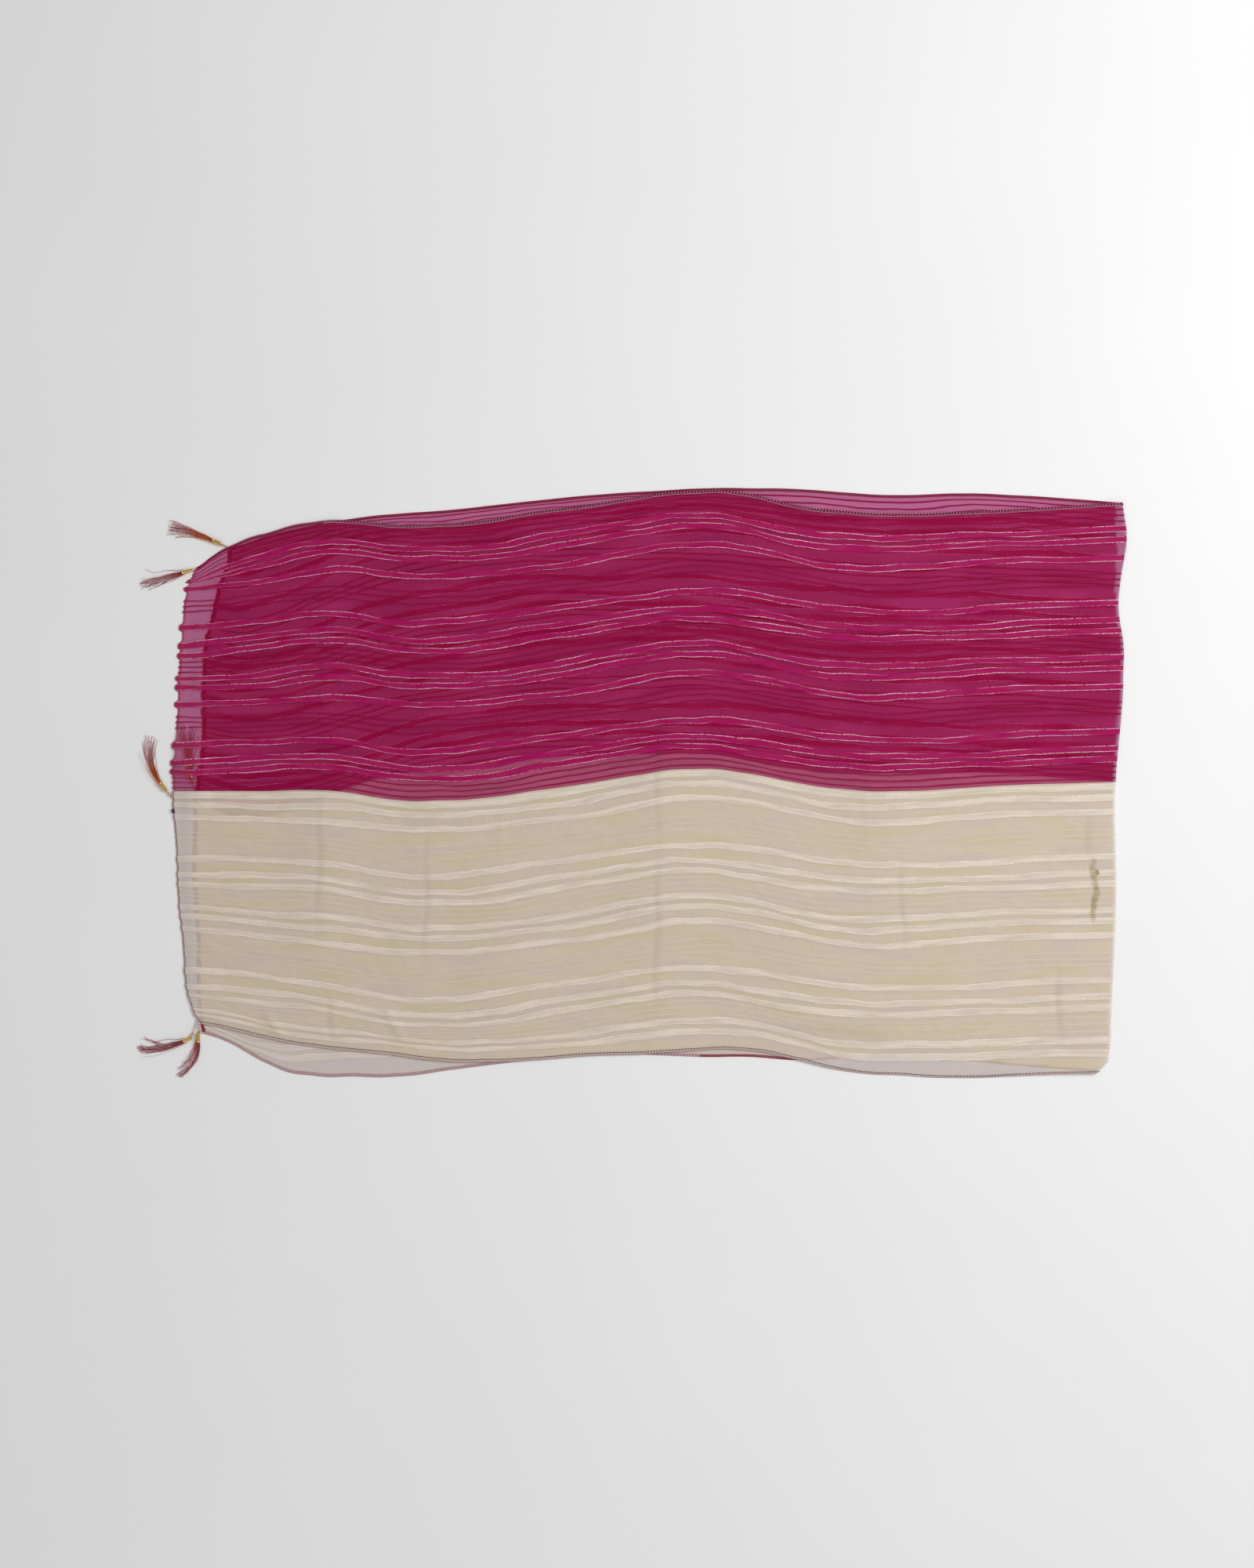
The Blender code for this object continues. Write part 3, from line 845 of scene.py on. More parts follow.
def tassel_finish(name, near_bead, near_bead_dark, changes_at):
    """Loose floss: strands of many tones, which are alike only where they leave the bead."""
    finish = Finish(name)
    reach = finish.attribute("reach")
    tone = finish.attribute("tone")
    strand = finish.node("ShaderNodeValToRGB", {"stops": FLOSS_TONES}, {0: tone})
    root = finish.mix(tone, near_bead, near_bead_dark)
    colour = finish.mix((reach + tone * 0.25).between(changes_at, changes_at + 0.5), root, strand)
    fuzz = finish.noise(finish.vector(reach * 60.0, tone * 40.0), detail=2.0)
    return mottled_thread(finish, finish.scaled(colour, fuzz * 0.6 + 0.7), fuzz)


def gold_finish():
    """Thin gold plate with fine wear and a slightly uneven polish."""
    finish = Finish("gold_plate")
    wear = finish.noise(finish.place(), scale=900.0, detail=3.0)
    colour = finish.mix(wear.between(0.45, 0.65), GOLD, WORN_GOLD)
    surface = finish.shader(
        Base_Color=colour,
        Metallic=1.0,
        Roughness=0.12 + 0.16 * wear,
        Normal=finish.bump(wear, 0.0001, 0.2),
    )
    return finish.done(surface)


def floor_finish():
    """Smooth pale board."""
    finish = Finish("pale_board")
    mottle = finish.noise(finish.place(), scale=3.0, detail=3.0)
    colour = finish.mix(mottle, BOARD, BOARD_MOTTLE)
    return finish.done(finish.shader(Base_Color=colour, Roughness=0.75))


def heading_of(degrees):
    return np.array([cos(radians(degrees)), sin(radians(degrees)), 0.0])


def bead_start_of(row):
    return np.array([row.tube_x, row.tube_y, TUBE_RADIUS])


def find_shift():
    """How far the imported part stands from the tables' origin, read from the first tube bead."""
    low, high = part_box("tassel_tube_1")
    middle = bead_start_of(TASSELS[0]) + heading_of(TASSELS[0].heading) * TUBE_LENGTH / 2
    return (low.x + high.x) / 2 / MM - middle[0], (low.y + high.y) / 2 / MM - middle[1]


shift_x, shift_y = find_shift()


def add_piece(name, points, faces, materials, replaced=(), face_materials=None, attributes=None):
    """Makes a piece from points in the tables' millimetres, rides it on the body and gives it its materials.
    """
    points = (np.asarray(points, float) + (shift_x, shift_y, 0)) * MM
    mesh = bpy.data.meshes.new(name)
    mesh.from_pydata(points.tolist(), [], np.asarray(faces).tolist())
    for material in materials:
        mesh.materials.append(material)
    if face_materials is not None:
        mesh.polygons.foreach_set("material_index", np.asarray(face_materials, np.int32))
    for key, values in (attributes or {}).items():
        layer = mesh.attributes.new(key, "FLOAT", "POINT")
        layer.data.foreach_set("value", np.asarray(values, np.float32).ravel())
    mesh.shade_smooth()
    mesh.update()
    piece = bpy.data.objects.new(name, mesh)
    bpy.context.collection.objects.link(piece)
    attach(piece, "root")
    if replaced:
        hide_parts(*replaced)
    return piece


def weave_columns(weave):
    """Column places across a panel in millimetres, and what is woven between each two of them."""
    marks = []
    for centre in band_centres(weave):
        low = centre - BAND_WIDTH / 2
        high = centre + BAND_WIDTH / 2
        marks.append((low, low + SILVER_WIDTH, SILVER))
        marks.append((low + SILVER_WIDTH, high - SILVER_WIDTH, BAND))
        marks.append((high - SILVER_WIDTH, high, SILVER))
    for centre in thin_line_centres(weave):
        marks.append((centre - LINE_WIDTH / 2, centre + LINE_WIDTH / 2, LINE))
    marks.sort()
    edge = CLOTH_WIDTH - CLOTH_INSET
    places = [SEAM_GAP / 2]
    kinds = []
    for low, high, kind in marks + [(edge, edge, GROUND)]:
        if low - places[-1] > LEAST_COLUMN:
            add_columns(places, kinds, low, GROUND)
        if high - places[-1] > LEAST_COLUMN:
            add_columns(places, kinds, high, kind)
    return np.array(places), np.array(kinds)


def add_columns(places, kinds, end, kind):
    """Fills the stretch up to its end with even columns, none wider than the widest allowed."""
    start = places[-1]
    count = int(np.ceil((end - start) / COLUMN_STEP))
    for i in range(1, count + 1):
        places.append(start + (end - start) * i / count)
        kinds.append(kind)


def leaf_grid(leaf, alongs, wovens):
    """Points of one leaf at each step along it and each woven share across."""
    x = leaf.x(alongs[:, None], wovens[None, :], CLOTH_INSET)
    woven = np.broadcast_to(wovens, x.shape)
    y = leaf.y(x, woven)
    return np.stack([x, y, leaf.height(x, y, woven)], axis=-1)


def fold_grid(wovens):
    """Points round the fold, from under it to on top of it."""
    turns = FOLD_TURNS[:, None]
    x = np.broadcast_to(fold_start(wovens), (len(turns), len(wovens)))
    lower_y = LOWER.y(x, wovens)
    y = lower_y + (UPPER.y(x, wovens) - lower_y) * turns / pi
    z = CLOTH / 2 + FOLD_RADIUS - FOLD_RADIUS * np.cos(turns)
    return np.stack([x + FOLD_RADIUS * np.sin(turns), y, np.broadcast_to(z, x.shape)], axis=-1)


def quads(rows, columns):
    """Faces of a grid of points, row by row."""
    corner = np.arange((rows - 1) * columns).reshape(rows - 1, columns)[:, :-1]
    return np.stack([corner, corner + 1, corner + columns + 1, corner + columns], axis=-1).reshape(-1, 4)


def doubled(points, leaf_rows, wovens):
    """1 where the cloth lies in two layers, 0 where a leaf reaches past the other one."""
    x, y = points[:, :, 0], points[:, :, 1]
    under, over = [leaf.margin(x, y, np.broadcast_to(wovens, x.shape)) for leaf in (UPPER, LOWER)]
    on_lower = (np.arange(len(points)) < leaf_rows)[:, None]
    return smooth_step(np.where(on_lower, under, over) / 2 + 0.5)


def cloth_panel(side, weave, dye):
    """One panel as a thin shell: lower leaf, fold and upper leaf in one sheet."""
    places, kinds = weave_columns(weave)
    wovens = side * places / CLOTH_WIDTH
    leaf_rows = int(CLOTH_LENGTH / 2 / ROW_STEP)
    lower = leaf_grid(LOWER, np.linspace(0, 1, leaf_rows, endpoint=False), wovens)
    fold = fold_grid(wovens)
    upper = leaf_grid(UPPER, np.linspace(1, 0, leaf_rows + 1)[1:], wovens)
    points = np.concatenate([lower, fold, upper])
    rows, columns = points.shape[:2]

    steps = np.linalg.norm(np.diff(points.mean(axis=1), axis=0), axis=1)
    along = np.concatenate([[0], np.cumsum(steps)])
    # where the painted sheen along the fold lies, and how wide it is
    glow_width = np.interp(wovens, GLOW_SHARES, GLOW_WIDTHS)
    from_fold = fold_start(wovens) + FOLD_RADIUS - points[:, :, 0]
    attributes = {
        "along": np.broadcast_to(along[:, None], (rows, columns)),
        "across": np.broadcast_to(places, (rows, columns)),
        "fold_glow": 1 - smooth_step((from_fold / glow_width - GLOW_FULL) * GLOW_SHARPNESS),
        "doubled": doubled(points, leaf_rows, wovens),
        "creased": creased(points),
    }
    faces = quads(rows, columns)
    if side < 0:
        faces = faces[:, ::-1]
    name = f"{dye.name}_cloth"
    materials = [ground_finish(dye), band_finish(dye), line_finish(dye), silver_finish(dye)]
    piece = add_piece(
        name, points.reshape(-1, 3), faces, materials,
        [f"{dye.name}_panel"], np.tile(kinds, rows - 1), attributes,
    )
    middle_row = leaf_rows + len(FOLD_TURNS) // 2
    unfold(piece.data, faces, middle_row, rows, places)
    return piece


BAKE_MARGIN = 0.002
BAKED_WIDTH = 0.49         # of one leaf's half of the image


def unfold(mesh, faces, middle_row, rows, places):
    """Lays the faces out flat for the baked image: the lower leaf beside the upper leaf."""
    row = faces // len(places)
    on_upper = row.min(axis=1, keepdims=True) >= middle_row
    to_fold = np.where(on_upper, (rows - 1 - row) / (rows - 1 - middle_row), row / middle_row)
    across = places[faces % len(places)] / CLOTH_WIDTH
    flat_x = BAKE_MARGIN + (1 - 2 * BAKE_MARGIN) * to_fold
    flat_y = BAKED_WIDTH * across + 0.5 * on_upper + 1.5 * BAKE_MARGIN
    flat = np.stack([flat_x, flat_y], axis=-1)
    mesh.uv_layers.new(name="OFBake").data.foreach_set("uv", flat.ravel())


def strands(paths, radius, sides, reference):
    """Tubes along many paths at once. Returns their points and faces; all paths have as many points."""
    paths = np.asarray(paths, float)
    count, steps = paths.shape[:2]
    ahead = np.gradient(paths, axis=1)
    ahead /= np.linalg.norm(ahead, axis=2, keepdims=True) + 1e-9
    sideways = np.cross(ahead, np.broadcast_to(reference, paths.shape))
    sideways /= np.linalg.norm(sideways, axis=2, keepdims=True) + 1e-9
    upward = np.cross(sideways, ahead)
    angles = (2 * pi * np.arange(sides) / sides)[:, None]
    radius = np.broadcast_to(radius, (count, steps))[:, :, None, None]
    around = np.cos(angles) * sideways[:, :, None, :] + np.sin(angles) * upward[:, :, None, :]
    points = paths[:, :, None, :] + radius * around

    ring = np.arange(sides)
    onward = (ring + 1) % sides
    tube = np.stack([ring, onward, onward + sides, ring + sides], axis=-1)
    tube = (tube[None] + sides * np.arange(steps - 1)[:, None, None]).reshape(-1, 4)
    first = sides * steps * np.arange(count)[:, None, None]
    return points.reshape(-1, 3), (tube[None] + first).reshape(-1, 4)


def join_strands(parts):
    """Joins several (points, faces) results and says which part each face came from."""
    points = []
    faces = []
    owners = []
    start = 0
    for number, (some_points, some_faces) in enumerate(parts):
        points.append(some_points)
        faces.append(some_faces + start)
        owners.append(np.full(len(some_faces), number))
        start += len(some_points)
    return np.concatenate(points), np.concatenate(faces), np.concatenate(owners)


class EdgeLine:
    """A line of cloth edge, with the way into the cloth and the way out of its outer side. Changes
    are the points where other colours of thread begin."""

    def __init__(self, edge, inner, outward, changes):
        steps = np.linalg.norm(np.diff(edge, axis=0), axis=1)
        self.places = np.concatenate([[0], np.cumsum(steps)])
        self.length = self.places[-1]
        self.changes = self.places[changes]
        self.edge = edge
        self.inward = (inner - edge) / np.linalg.norm(inner - edge, axis=1, keepdims=True)
        self.outward = outward

    def read(self, table, place):
        return np.stack([np.interp(place, self.places, table[:, axis]) for axis in range(3)], axis=-1)

    def at(self, place, inside, lift):
        """The point this far along the edge, this far inside it and this far above its outer side."""
        here = self.read(self.edge, place)
        here = here + inside[..., None] * self.read(self.inward, place)
        return here + lift[..., None] * self.read(self.outward, place)


def round_the_fold(woven):
    """Points of one thread in three parts: the lower leaf, the fold and back along the upper leaf."""
    wovens = np.array([woven])
    alongs = np.linspace(0, 1, LINE_STEPS)
    lower = leaf_grid(LOWER, alongs[:-1], wovens)
    fold = fold_grid(wovens)
    upper = leaf_grid(UPPER, alongs[::-1][1:], wovens)
    return lower[:, 0], fold[:, 0], upper[:, 0]


def long_edge_line(side):
    """A long edge of the scarf from the lower leaf's cut end, round the fold, to the upper leaf's."""
    edge = round_the_fold(side)
    inner = round_the_fold(side * (1 - EDGING_WIDTH / PANEL_WIDTH))
    lower, fold, upper = inner
    under_from = np.searchsorted(lower[:, 0], UNDER_FROM)
    plain_from = np.searchsorted(-upper[:, 0], -PLAIN_CORNER)
    below = np.tile([0, 0, -1.0], (len(lower), 1))
    around = np.stack([np.sin(FOLD_TURNS), 0 * FOLD_TURNS, -np.cos(FOLD_TURNS)], axis=-1)
    above = np.tile([0, 0, 1.0], (len(upper), 1))
    turned_over = len(lower) + len(fold)
    changes = [under_from, len(lower) + len(fold) // 2, turned_over + plain_from]
    outward = np.concatenate([below, around, above])
    return EdgeLine(np.concatenate(edge), np.concatenate(inner), outward, changes)


def end_edge_line(leaf):
    """The cut end of a leaf, from the cream edge to the magenta edge."""
    widest = 1 - EDGING_WIDTH / PANEL_WIDTH
    wovens = np.linspace(-widest, widest, END_LINE_STEPS)
    lines = []
    for reach in (0, EDGING_WIDTH):
        x = leaf.x(0, wovens, reach)
        y = leaf.y(x, wovens)
        lines.append(np.stack([x, y, leaf.height(x, y, wovens)], axis=-1))
    up = 1.0 if leaf is UPPER else -1.0
    return EdgeLine(lines[0], lines[1], np.tile([0, 0, up], (len(wovens), 1)), [len(wovens) // 2])


# where the overlock's threads run, in millimetres: inside the edge for a stitch of full width, and
# above the cloth's outer side
WOUND_MIDDLE = 1.15
WOUND_REACH = 1.45
WOUND_HEIGHT = 0.62
WOUND_UNEVEN = 0.10
NEEDLE_ROW = 2.75
NEEDLE_HEIGHT = 0.35
NEEDLE_UNEVEN = 0.08
CHAIN_ROW = -0.35
CHAIN_HEIGHT = 0.25
CHAIN_SWAY = 0.18
SHORT_STEPS = 5
NEEDLE_STITCH = np.linspace(0.05, 0.72, SHORT_STEPS)  # the part of the pitch that it covers
ARCH = np.sin(pi * np.linspace(0, 1, SHORT_STEPS))
SLANTED_UP = (0.3, 0.2, 1.0)  # no thread that lies on the cloth runs this way


def overlock(line, stitch, seed):
    """Overlock stitches along an edge: two threads wound round it, a row of needle stitches on its
    outer side and a chain along its rim. Says for each face which thread it belongs to, and
    counts on by four past each place where other colours begin."""
    rng = np.random.default_rng(seed)
    count = int(line.length / stitch.pitch)
    turn = np.linspace(0, 1, STITCH_STEPS + 1)
    starts = np.arange(count)[:, None] * (line.length / count)
    uneven = rng.normal(0, WOUND_UNEVEN, (count + 1, 1))
    parts = []

    def add_thread(place, inside, lift, share, sides, reference):
        """Adds threads that the surface presses up where they lie on it."""
        paths = line.at(place, inside, lift)
        paths[..., 2] = np.maximum(paths[..., 2], stitch.thread * 1.1 + 0.02)
        parts.append(strands(paths, stitch.thread * share, sides, reference))

    for thread in (0, 1):
        spin = 2 * pi * (turn + thread / 2)
        reach = WOUND_REACH + (uneven[:-1] + (uneven[1:] - uneven[:-1]) * turn)
        place = starts + turn * stitch.pitch
        inside = (WOUND_MIDDLE - reach * np.cos(spin)) * stitch.width
        lift = WOUND_HEIGHT * np.sin(spin)
        forward = line.read(np.gradient(line.edge, axis=0), place)
        add_thread(place, inside, lift, 1.0, STITCH_SIDES, forward)

    place = starts + NEEDLE_STITCH * stitch.pitch
    inside = NEEDLE_ROW * stitch.width + rng.normal(0, NEEDLE_UNEVEN, (count, 1)) + 0 * place
    lift = NEEDLE_HEIGHT + NEEDLE_HEIGHT * ARCH + 0 * place
    add_thread(place, inside, lift, 1.1, 4, SLANTED_UP)

    chain = np.linspace(0, 1, SHORT_STEPS)
    place = starts + chain * stitch.pitch
    inside = CHAIN_ROW * stitch.width + CHAIN_SWAY * np.sin(4 * pi * chain) + 0 * place
    lift = CHAIN_HEIGHT * np.cos(2 * pi * chain) + 0 * place
    add_thread(place, inside, lift, 0.9, 4, SLANTED_UP)

    points, faces, threads = join_strands(parts)
    changed = np.searchsorted(line.changes, starts[:, 0])
    later = [np.repeat(changed, len(some_faces) // count) for some_points, some_faces in parts]
    return points, faces, threads + len(parts) * np.concatenate(later)


def edging(name, line, threads, replaced, stitch, seed):
    """An edging piece. Threads are sets of four, one for each stretch of the line: two wound
    threads, needle stitches and rim chain."""
    points, faces, owners = overlock(line, stitch, seed)
    return add_piece(name, points, faces, threads, [replaced], owners)


def seam_stitches(material):
    """Small lockstitches across the gap between the panels, on both leaves and round the fold."""
    middle = np.concatenate(round_the_fold(0.0))
    upward = np.tile([0, 0, 1.0], (len(middle), 1))
    line = EdgeLine(middle, middle + (0, 1, 0), upward, [])
    count = int(line.length / SEAM_STITCH)
    step = np.linspace(0, 0.78, SHORT_STEPS)
    place = (np.arange(count)[:, None] + step) * SEAM_STITCH
    paths = line.at(place, 0 * place, SEAM_LIFT + SEAM_THREAD * ARCH + 0 * place)
    points, faces = strands(paths, SEAM_THREAD, 4, SLANTED_UP)
    return add_piece("seam_stitches", points, faces, [material])


UP = np.array([0, 0, 1.0])


def bend(start, control, end, t):
    """A point on the curve from start to end that leaves and arrives towards control."""
    return (1 - t) ** 2 * start + 2 * t * (1 - t) * control + t ** 2 * end


def way_along(start, control, end, t):
    """Which way the curve runs there, seen from above."""
    way = (bend(start, control, end, t + 0.02) - bend(start, control, end, t)) * (1, 1, 0)
    return way / np.linalg.norm(way, axis=-1, keepdims=True)


def neck_ends(row):
    """Where a tassel's neck leaves the edging, and the point that bends it towards the bead."""
    leaf = UPPER if row.leaf == "upper" else LOWER
    share = np.array([row.share])
    x = leaf.x(0, share, 0)
    y = leaf.y(x, share)
    start = np.array([x[0], y[0], leaf.height(x, y, share)[0]])
    return start, bead_start_of(row) - heading_of(row.heading) * NECK_LEAD


THREADS = {1: 38, 2: 22, 3: 28, 4: 26, 5: 44, 6: 38}
THREAD_STEPS = 24
STRAYS = 9
LOCKS = 7                  # the threads of a tassel hang together in this many locks
LOCK_FAN = 0.52            # share of the tassel's width that the locks spread to each side
BUNDLE_WIDTH = 2.2         # where the floss leaves the bead
FLOSS_SIDES = 4
FLOSS_RADIUS = 0.29
FLOSS_THINS = 0.08         # the floss is this much thinner at its tips
FLOSS_IN_BEAD = 3.0
NECK_STEPS = 40
NECK_TURNS = 5
PLY_RADIUS = 0.30
PLY_OFFSET = 0.34
PLY_SIDES = 5


def neck_plies(row):
    """The neck behind the bead: three plies twisted round each other."""
    start, control = neck_ends(row)
    forward = heading_of(row.heading)
    sideways = np.cross(forward, UP)
    t = np.linspace(0, 1, NECK_STEPS)[:, None]
    core = bend(start, control, bead_start_of(row) + forward, t)
    plies = []
    for ply in (0, 1, 2):
        spin = 2 * pi * (NECK_TURNS * t + ply / 3)
        plies.append(core + PLY_OFFSET * (np.cos(spin) * sideways + np.sin(spin) * UP))
    return strands(plies, PLY_RADIUS, PLY_SIDES, UP)


def tassel(number, row, material):
    """Floss from the bead to the tips, with strays, and the twisted neck behind the bead."""
    rng = np.random.default_rng(40 + number)
    forward = heading_of(row.heading)
    bead_end = bead_start_of(row) + forward * TUBE_LENGTH
    tip = np.array([row.tip_x, row.tip_y, 0.0])
    reach = np.linalg.norm((tip - bead_end)[:2])
    root = bead_end - forward * FLOSS_IN_BEAD
    control = bead_end + forward * reach / 2

    t = np.linspace(0, 1, THREAD_STEPS)[None, :, None]
    count = THREADS[number] + STRAYS

    def drawn(low, high):
        """A number for each thread, drawn evenly between two values."""
        return rng.uniform(low, high, (count, 1, 1))

    stray = (np.arange(count) >= THREADS[number])[:, None, None]
    length = drawn(0.80, 1.03) - stray * drawn(0.0, 0.25)
    t = t * length
    aside = np.cross(way_along(root, control, tip, t), UP)

    lock = rng.integers(0, LOCKS, count)
    lock_fan = np.linspace(-LOCK_FAN, LOCK_FAN, LOCKS) + rng.normal(0, 0.07, LOCKS)
    lock_bend = rng.normal(0, 3.2, LOCKS)
    fan = lock_fan[lock][:, None, None] + rng.normal(0, 0.10, (count, 1, 1)) * (1 + 4.5 * stray)
    width = BUNDLE_WIDTH + (row.spread - BUNDLE_WIDTH) * t ** 1.25
    curl = drawn(0.2, 1.5) * t ** 1.6 * (1 + 1.8 * stray)
    turns = drawn(0.7, 2.6) * t + drawn(0, 1)
    sway = lock_bend[lock][:, None, None] * t * np.sin(pi * (0.4 + 1.3 * t))
    kinks = drawn(3.0, 6.5) * t + drawn(0, 1)
    frizz = drawn(0.1, 0.7) * t ** 2.5 * np.sin(2 * pi * kinks)
    offset = fan * width + sway + curl * np.sin(2 * pi * turns) + frizz
    paths = bend(root, control, tip, t) + aside * offset
    in_bead = rng.uniform(-1, 1, (count, 1))
    pile = 0.35 + rng.uniform(0, 1, (count, 1)) ** 1.5 * (2.6 - 1.2 * t[..., 0])
    settle = smooth_step(t[..., 0] * 3.2)
    paths[..., 2] = (TUBE_RADIUS + in_bead * 1.1) * (1 - settle) + pile * settle
    thickness = FLOSS_RADIUS - FLOSS_THINS * t[..., 0]
    floss = strands(paths, thickness, FLOSS_SIDES, UP)

    neck = neck_plies(row)
    points, faces = join_strands([floss, neck])[:2]
    tone = np.repeat(rng.uniform(0, 1, count), THREAD_STEPS * FLOSS_SIDES)
    along = np.repeat(t.ravel(), FLOSS_SIDES)
    neck_points = len(neck[0])
    attributes = {
        "tone": np.concatenate([tone, np.full(neck_points, 0.4)]),
        "reach": np.concatenate([along, np.full(neck_points, 0.5)]),
    }
    return add_piece(
        f"tassel_floss_{number}", points, faces, [material],
        [f"tassel_{number}"], attributes=attributes,
    )


def turned(profile, start, axis, sides):
    """A closed turned shape: the profile's points are (distance along the axis, radius)."""
    sideways = np.cross(axis, UP)
    upward = np.cross(sideways, axis)
    angles = 2 * pi * np.arange(sides) / sides
    around = np.cos(angles)[:, None] * sideways + np.sin(angles)[:, None] * upward
    rings = [start + axis * along + around * radius for along, radius in profile]
    points = np.array(rings).reshape(-1, 3)
    ring = np.arange(sides)
    onward = (ring + 1) % sides
    faces = []
    for i in range(len(profile)):
        here = i * sides
        ahead = (i + 1) % len(profile) * sides
        corners = [ring + here, ring + ahead, onward + ahead, onward + here]
        faces.append(np.stack(corners, axis=-1))
    return points, np.concatenate(faces)


def arc(along, out, radius, first, last, count):
    """Points of a profile on an arc round one of its points; the angles are in degrees."""
    spins = [radians(angle) for angle in np.linspace(first, last, count)]
    return [(along + radius * cos(spin), out + radius * sin(spin)) for spin in spins]


ROUND_BEAD_RADIUS = 1.45
ROUND_BEADS = {1: (0.55,), 2: (0.60,), 3: (0.30, 0.66), 4: (0.62,), 5: (0.55,), 6: (0.45,)}
RIM = 0.55                 # thickness of the tube's rolled rims
WALL_BELOW_RIM = 0.22


def beads(number, row, material):
    """The tassel's gold tube with rolled rims, and the small round beads on its neck."""
    half_rim = RIM / 2
    rim_middle = TUBE_RADIUS - half_rim
    tube = arc(half_rim, rim_middle, half_rim, 180, 0, 7)
    for along in np.linspace(0.14, 0.86, 7):
        out = TUBE_RADIUS - WALL_BELOW_RIM + 0.10 * sin(pi * along)
        tube.append((along * TUBE_LENGTH, out))
    tube += arc(TUBE_LENGTH - half_rim, rim_middle, half_rim, 180, 0, 7)
    tube += [(TUBE_LENGTH - 0.1, TUBE_BORE), (0.1, TUBE_BORE)]
    parts = [turned(tube, bead_start_of(row), heading_of(row.heading), 32)]

    start, control = neck_ends(row)
    for t in ROUND_BEADS[number]:
        here = bend(start, control, bead_start_of(row), t)
        here[2] = max(here[2], ROUND_BEAD_RADIUS)
        way = way_along(start, control, bead_start_of(row), t)
        parts.append(turned(arc(0, 0, ROUND_BEAD_RADIUS, 160, 20, 9), here, way, 20))
    points, faces = join_strands(parts)[:2]
    return add_piece(
        f"gold_beads_{number}", points, faces, [material], [f"tassel_tube_{number}"],
    )


Knot = namedtuple("Knot", "name x y height lean length radius thread turns")
KNOTS = table(
    Knot,
    ("dark_thread_knot", -562.4, -34.5, 1.6, -1.2, 5.0, 1.3, 0.42, 4),
    ("corner_knot", -532.0, -284.0, 2.1, 1.8, -9.0, 1.7, 0.45, 6),
)


KNOT_STEPS = 15            # points to a turn


def thread_knot(knot, material):
    """An end of thread wound round the edging."""
    turns = np.linspace(0, 1, KNOT_STEPS * knot.turns)
    spin = 2 * pi * knot.turns * turns
    x = knot.x + knot.radius * np.cos(spin) + knot.lean * turns
    y = knot.y + knot.length * turns + 0.5 * np.sin(spin * 0.5)
    z = knot.height + 0.75 * knot.radius * np.sin(spin)
    points, faces = strands([np.stack([x, y, z], axis=-1)], knot.thread, 6, (0.2, 1.0, 0.1))
    return add_piece(knot.name, points, faces, [material])


THREAD_COLOURS = {
    "plum": ((0.10, 0.012, 0.035), (0.05, 0.008, 0.02)),
    "pale_pink": ((0.70, 0.36, 0.50), (0.50, 0.17, 0.28)),
    "dusty_rose": ((0.58, 0.30, 0.35), (0.42, 0.17, 0.22)),
    "brick_red": ((0.40, 0.035, 0.055), (0.25, 0.015, 0.030)),
    "chalk": ((0.78, 0.69, 0.64), (0.60, 0.49, 0.46)),
    "crimson": ((0.36, 0.003, 0.08), (0.24, 0.002, 0.045)),
    "black": ((0.012, 0.010, 0.010), (0.004, 0.004, 0.004)),
}


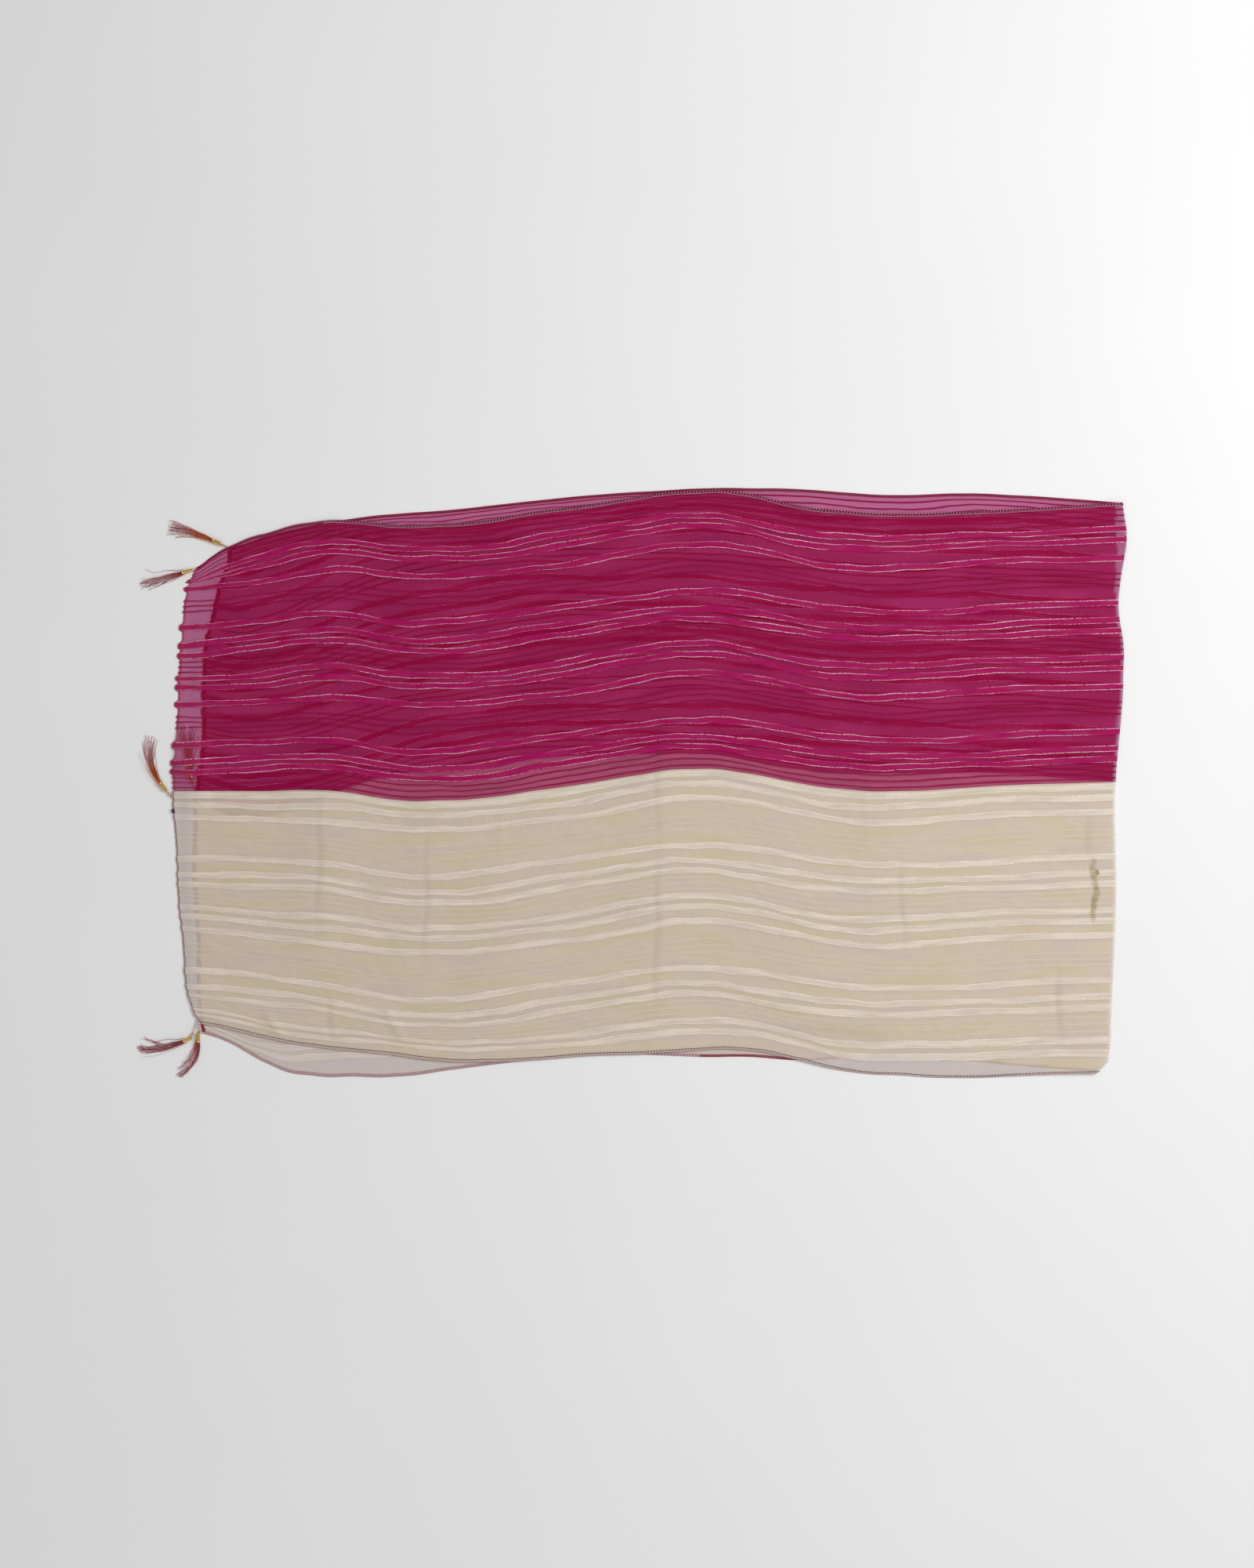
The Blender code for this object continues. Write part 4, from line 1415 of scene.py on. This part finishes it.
def make_scarf():
    cloth_panel(1, MAGENTA_WEAVE, MAGENTA)
    cloth_panel(-1, CREAM_WEAVE, CREAM)

    plum, pale, rose, brick, chalk, crimson, black = [
        thread_finish(name + "_thread", *colours) for name, colours in THREAD_COLOURS.items()
    ]
    plain = [crimson] * 4
    rolled = [crimson, crimson, rose, crimson]
    looped = [plum, pale, pale, crimson]
    edging(
        "edging_magenta_thread", long_edge_line(1), rolled + rolled + looped + plain,
        "edging_magenta", LONG_STITCH, 3,
    )
    rosy = [rose, chalk, brick, rose]
    red = [brick, brick, rose, brick]
    dashed = [chalk, chalk, plum, rose]
    edging(
        "edging_cream_thread", long_edge_line(-1), rosy + red + dashed + dashed,
        "edging_cream", LONG_STITCH, 5,
    )
    edging(
        "edging_upper_end_thread", end_edge_line(UPPER),
        [chalk, rose, plum, chalk, crimson, pale, crimson, crimson], "edging_end_upper", UPPER_END_STITCH, 7,
    )
    edging(
        "edging_lower_end_thread", end_edge_line(LOWER), [brick] * 4 + plain,
        "edging_end_lower", LOWER_END_STITCH, 9,
    )
    seam_stitches(crimson)
    for knot, material in zip(KNOTS, (black, chalk)):
        thread_knot(knot, material)

    orange = tassel_finish("orange_floss", (0.60, 0.16, 0.035), (0.32, 0.035, 0.012), 0.38)
    wine = tassel_finish("wine_floss", (0.42, 0.07, 0.055), (0.16, 0.016, 0.025), 0.15)
    floss = {1: orange, 2: wine, 3: orange, 4: orange, 5: wine, 6: wine}
    gold = gold_finish()
    for number, row in enumerate(TASSELS, 1):
        tassel(number, row, floss[number])
        beads(number, row, gold)


FLOOR_SIZE = 14.0


def make_floor():
    bpy.ops.mesh.primitive_plane_add(size=FLOOR_SIZE)
    floor = bpy.context.object
    floor.name = "pale_floor"
    floor.data.materials.append(floor_finish())


Softbox = namedtuple("Softbox", "name place size power")
SOFTBOXES = table(
    Softbox,
    ("key_softbox", (2.4, 1.0, 2.4), 1.6, 85),
    ("fill_softbox", (-0.4, -2.4, 2.4), 2.2, 12),
)
WORLD_STRENGTH = 0.455


def make_lights():
    """Two softboxes that look at the scarf's middle, and even light from all round."""
    for row in SOFTBOXES:
        light = bpy.data.lights.new(row.name, "AREA")
        light.size = row.size
        light.energy = row.power
        lamp = bpy.data.objects.new(row.name, light)
        lamp.location = row.place
        lamp.rotation_mode = "QUATERNION"
        lamp.rotation_quaternion = (-Vector(row.place)).to_track_quat("-Z", "Y")
        bpy.context.collection.objects.link(lamp)
    world = bpy.data.worlds.new("studio")
    world.use_nodes = True
    background = world.node_tree.nodes["Background"]
    background.inputs["Color"].default_value = (1, 1, 1, 1)
    background.inputs["Strength"].default_value = WORLD_STRENGTH
    bpy.context.scene.world = world
    bpy.context.scene.view_settings.view_transform = "Standard"


LENS = 85.0
SENSOR = 36.0


def make_camera():
    """Straight above the table, framed so that the photograph's pixels fall on the same places."""
    data = bpy.data.cameras.new("overhead")
    data.lens = LENS
    data.sensor_width = SENSOR
    camera = bpy.data.objects.new("overhead", data)
    view_height = PHOTO_HEIGHT * PHOTO_SCALE * MM
    x = (PHOTO_WIDTH / 2 - TABLE_PIXEL[0]) * PHOTO_SCALE
    y = (TABLE_PIXEL[1] - PHOTO_HEIGHT / 2) * PHOTO_SCALE
    camera.location = ((x + shift_x) * MM, (y + shift_y) * MM, view_height * LENS / SENSOR)
    bpy.context.collection.objects.link(camera)
    bpy.context.scene.camera = camera


make_camera()
make_scarf()
make_floor()
make_lights()
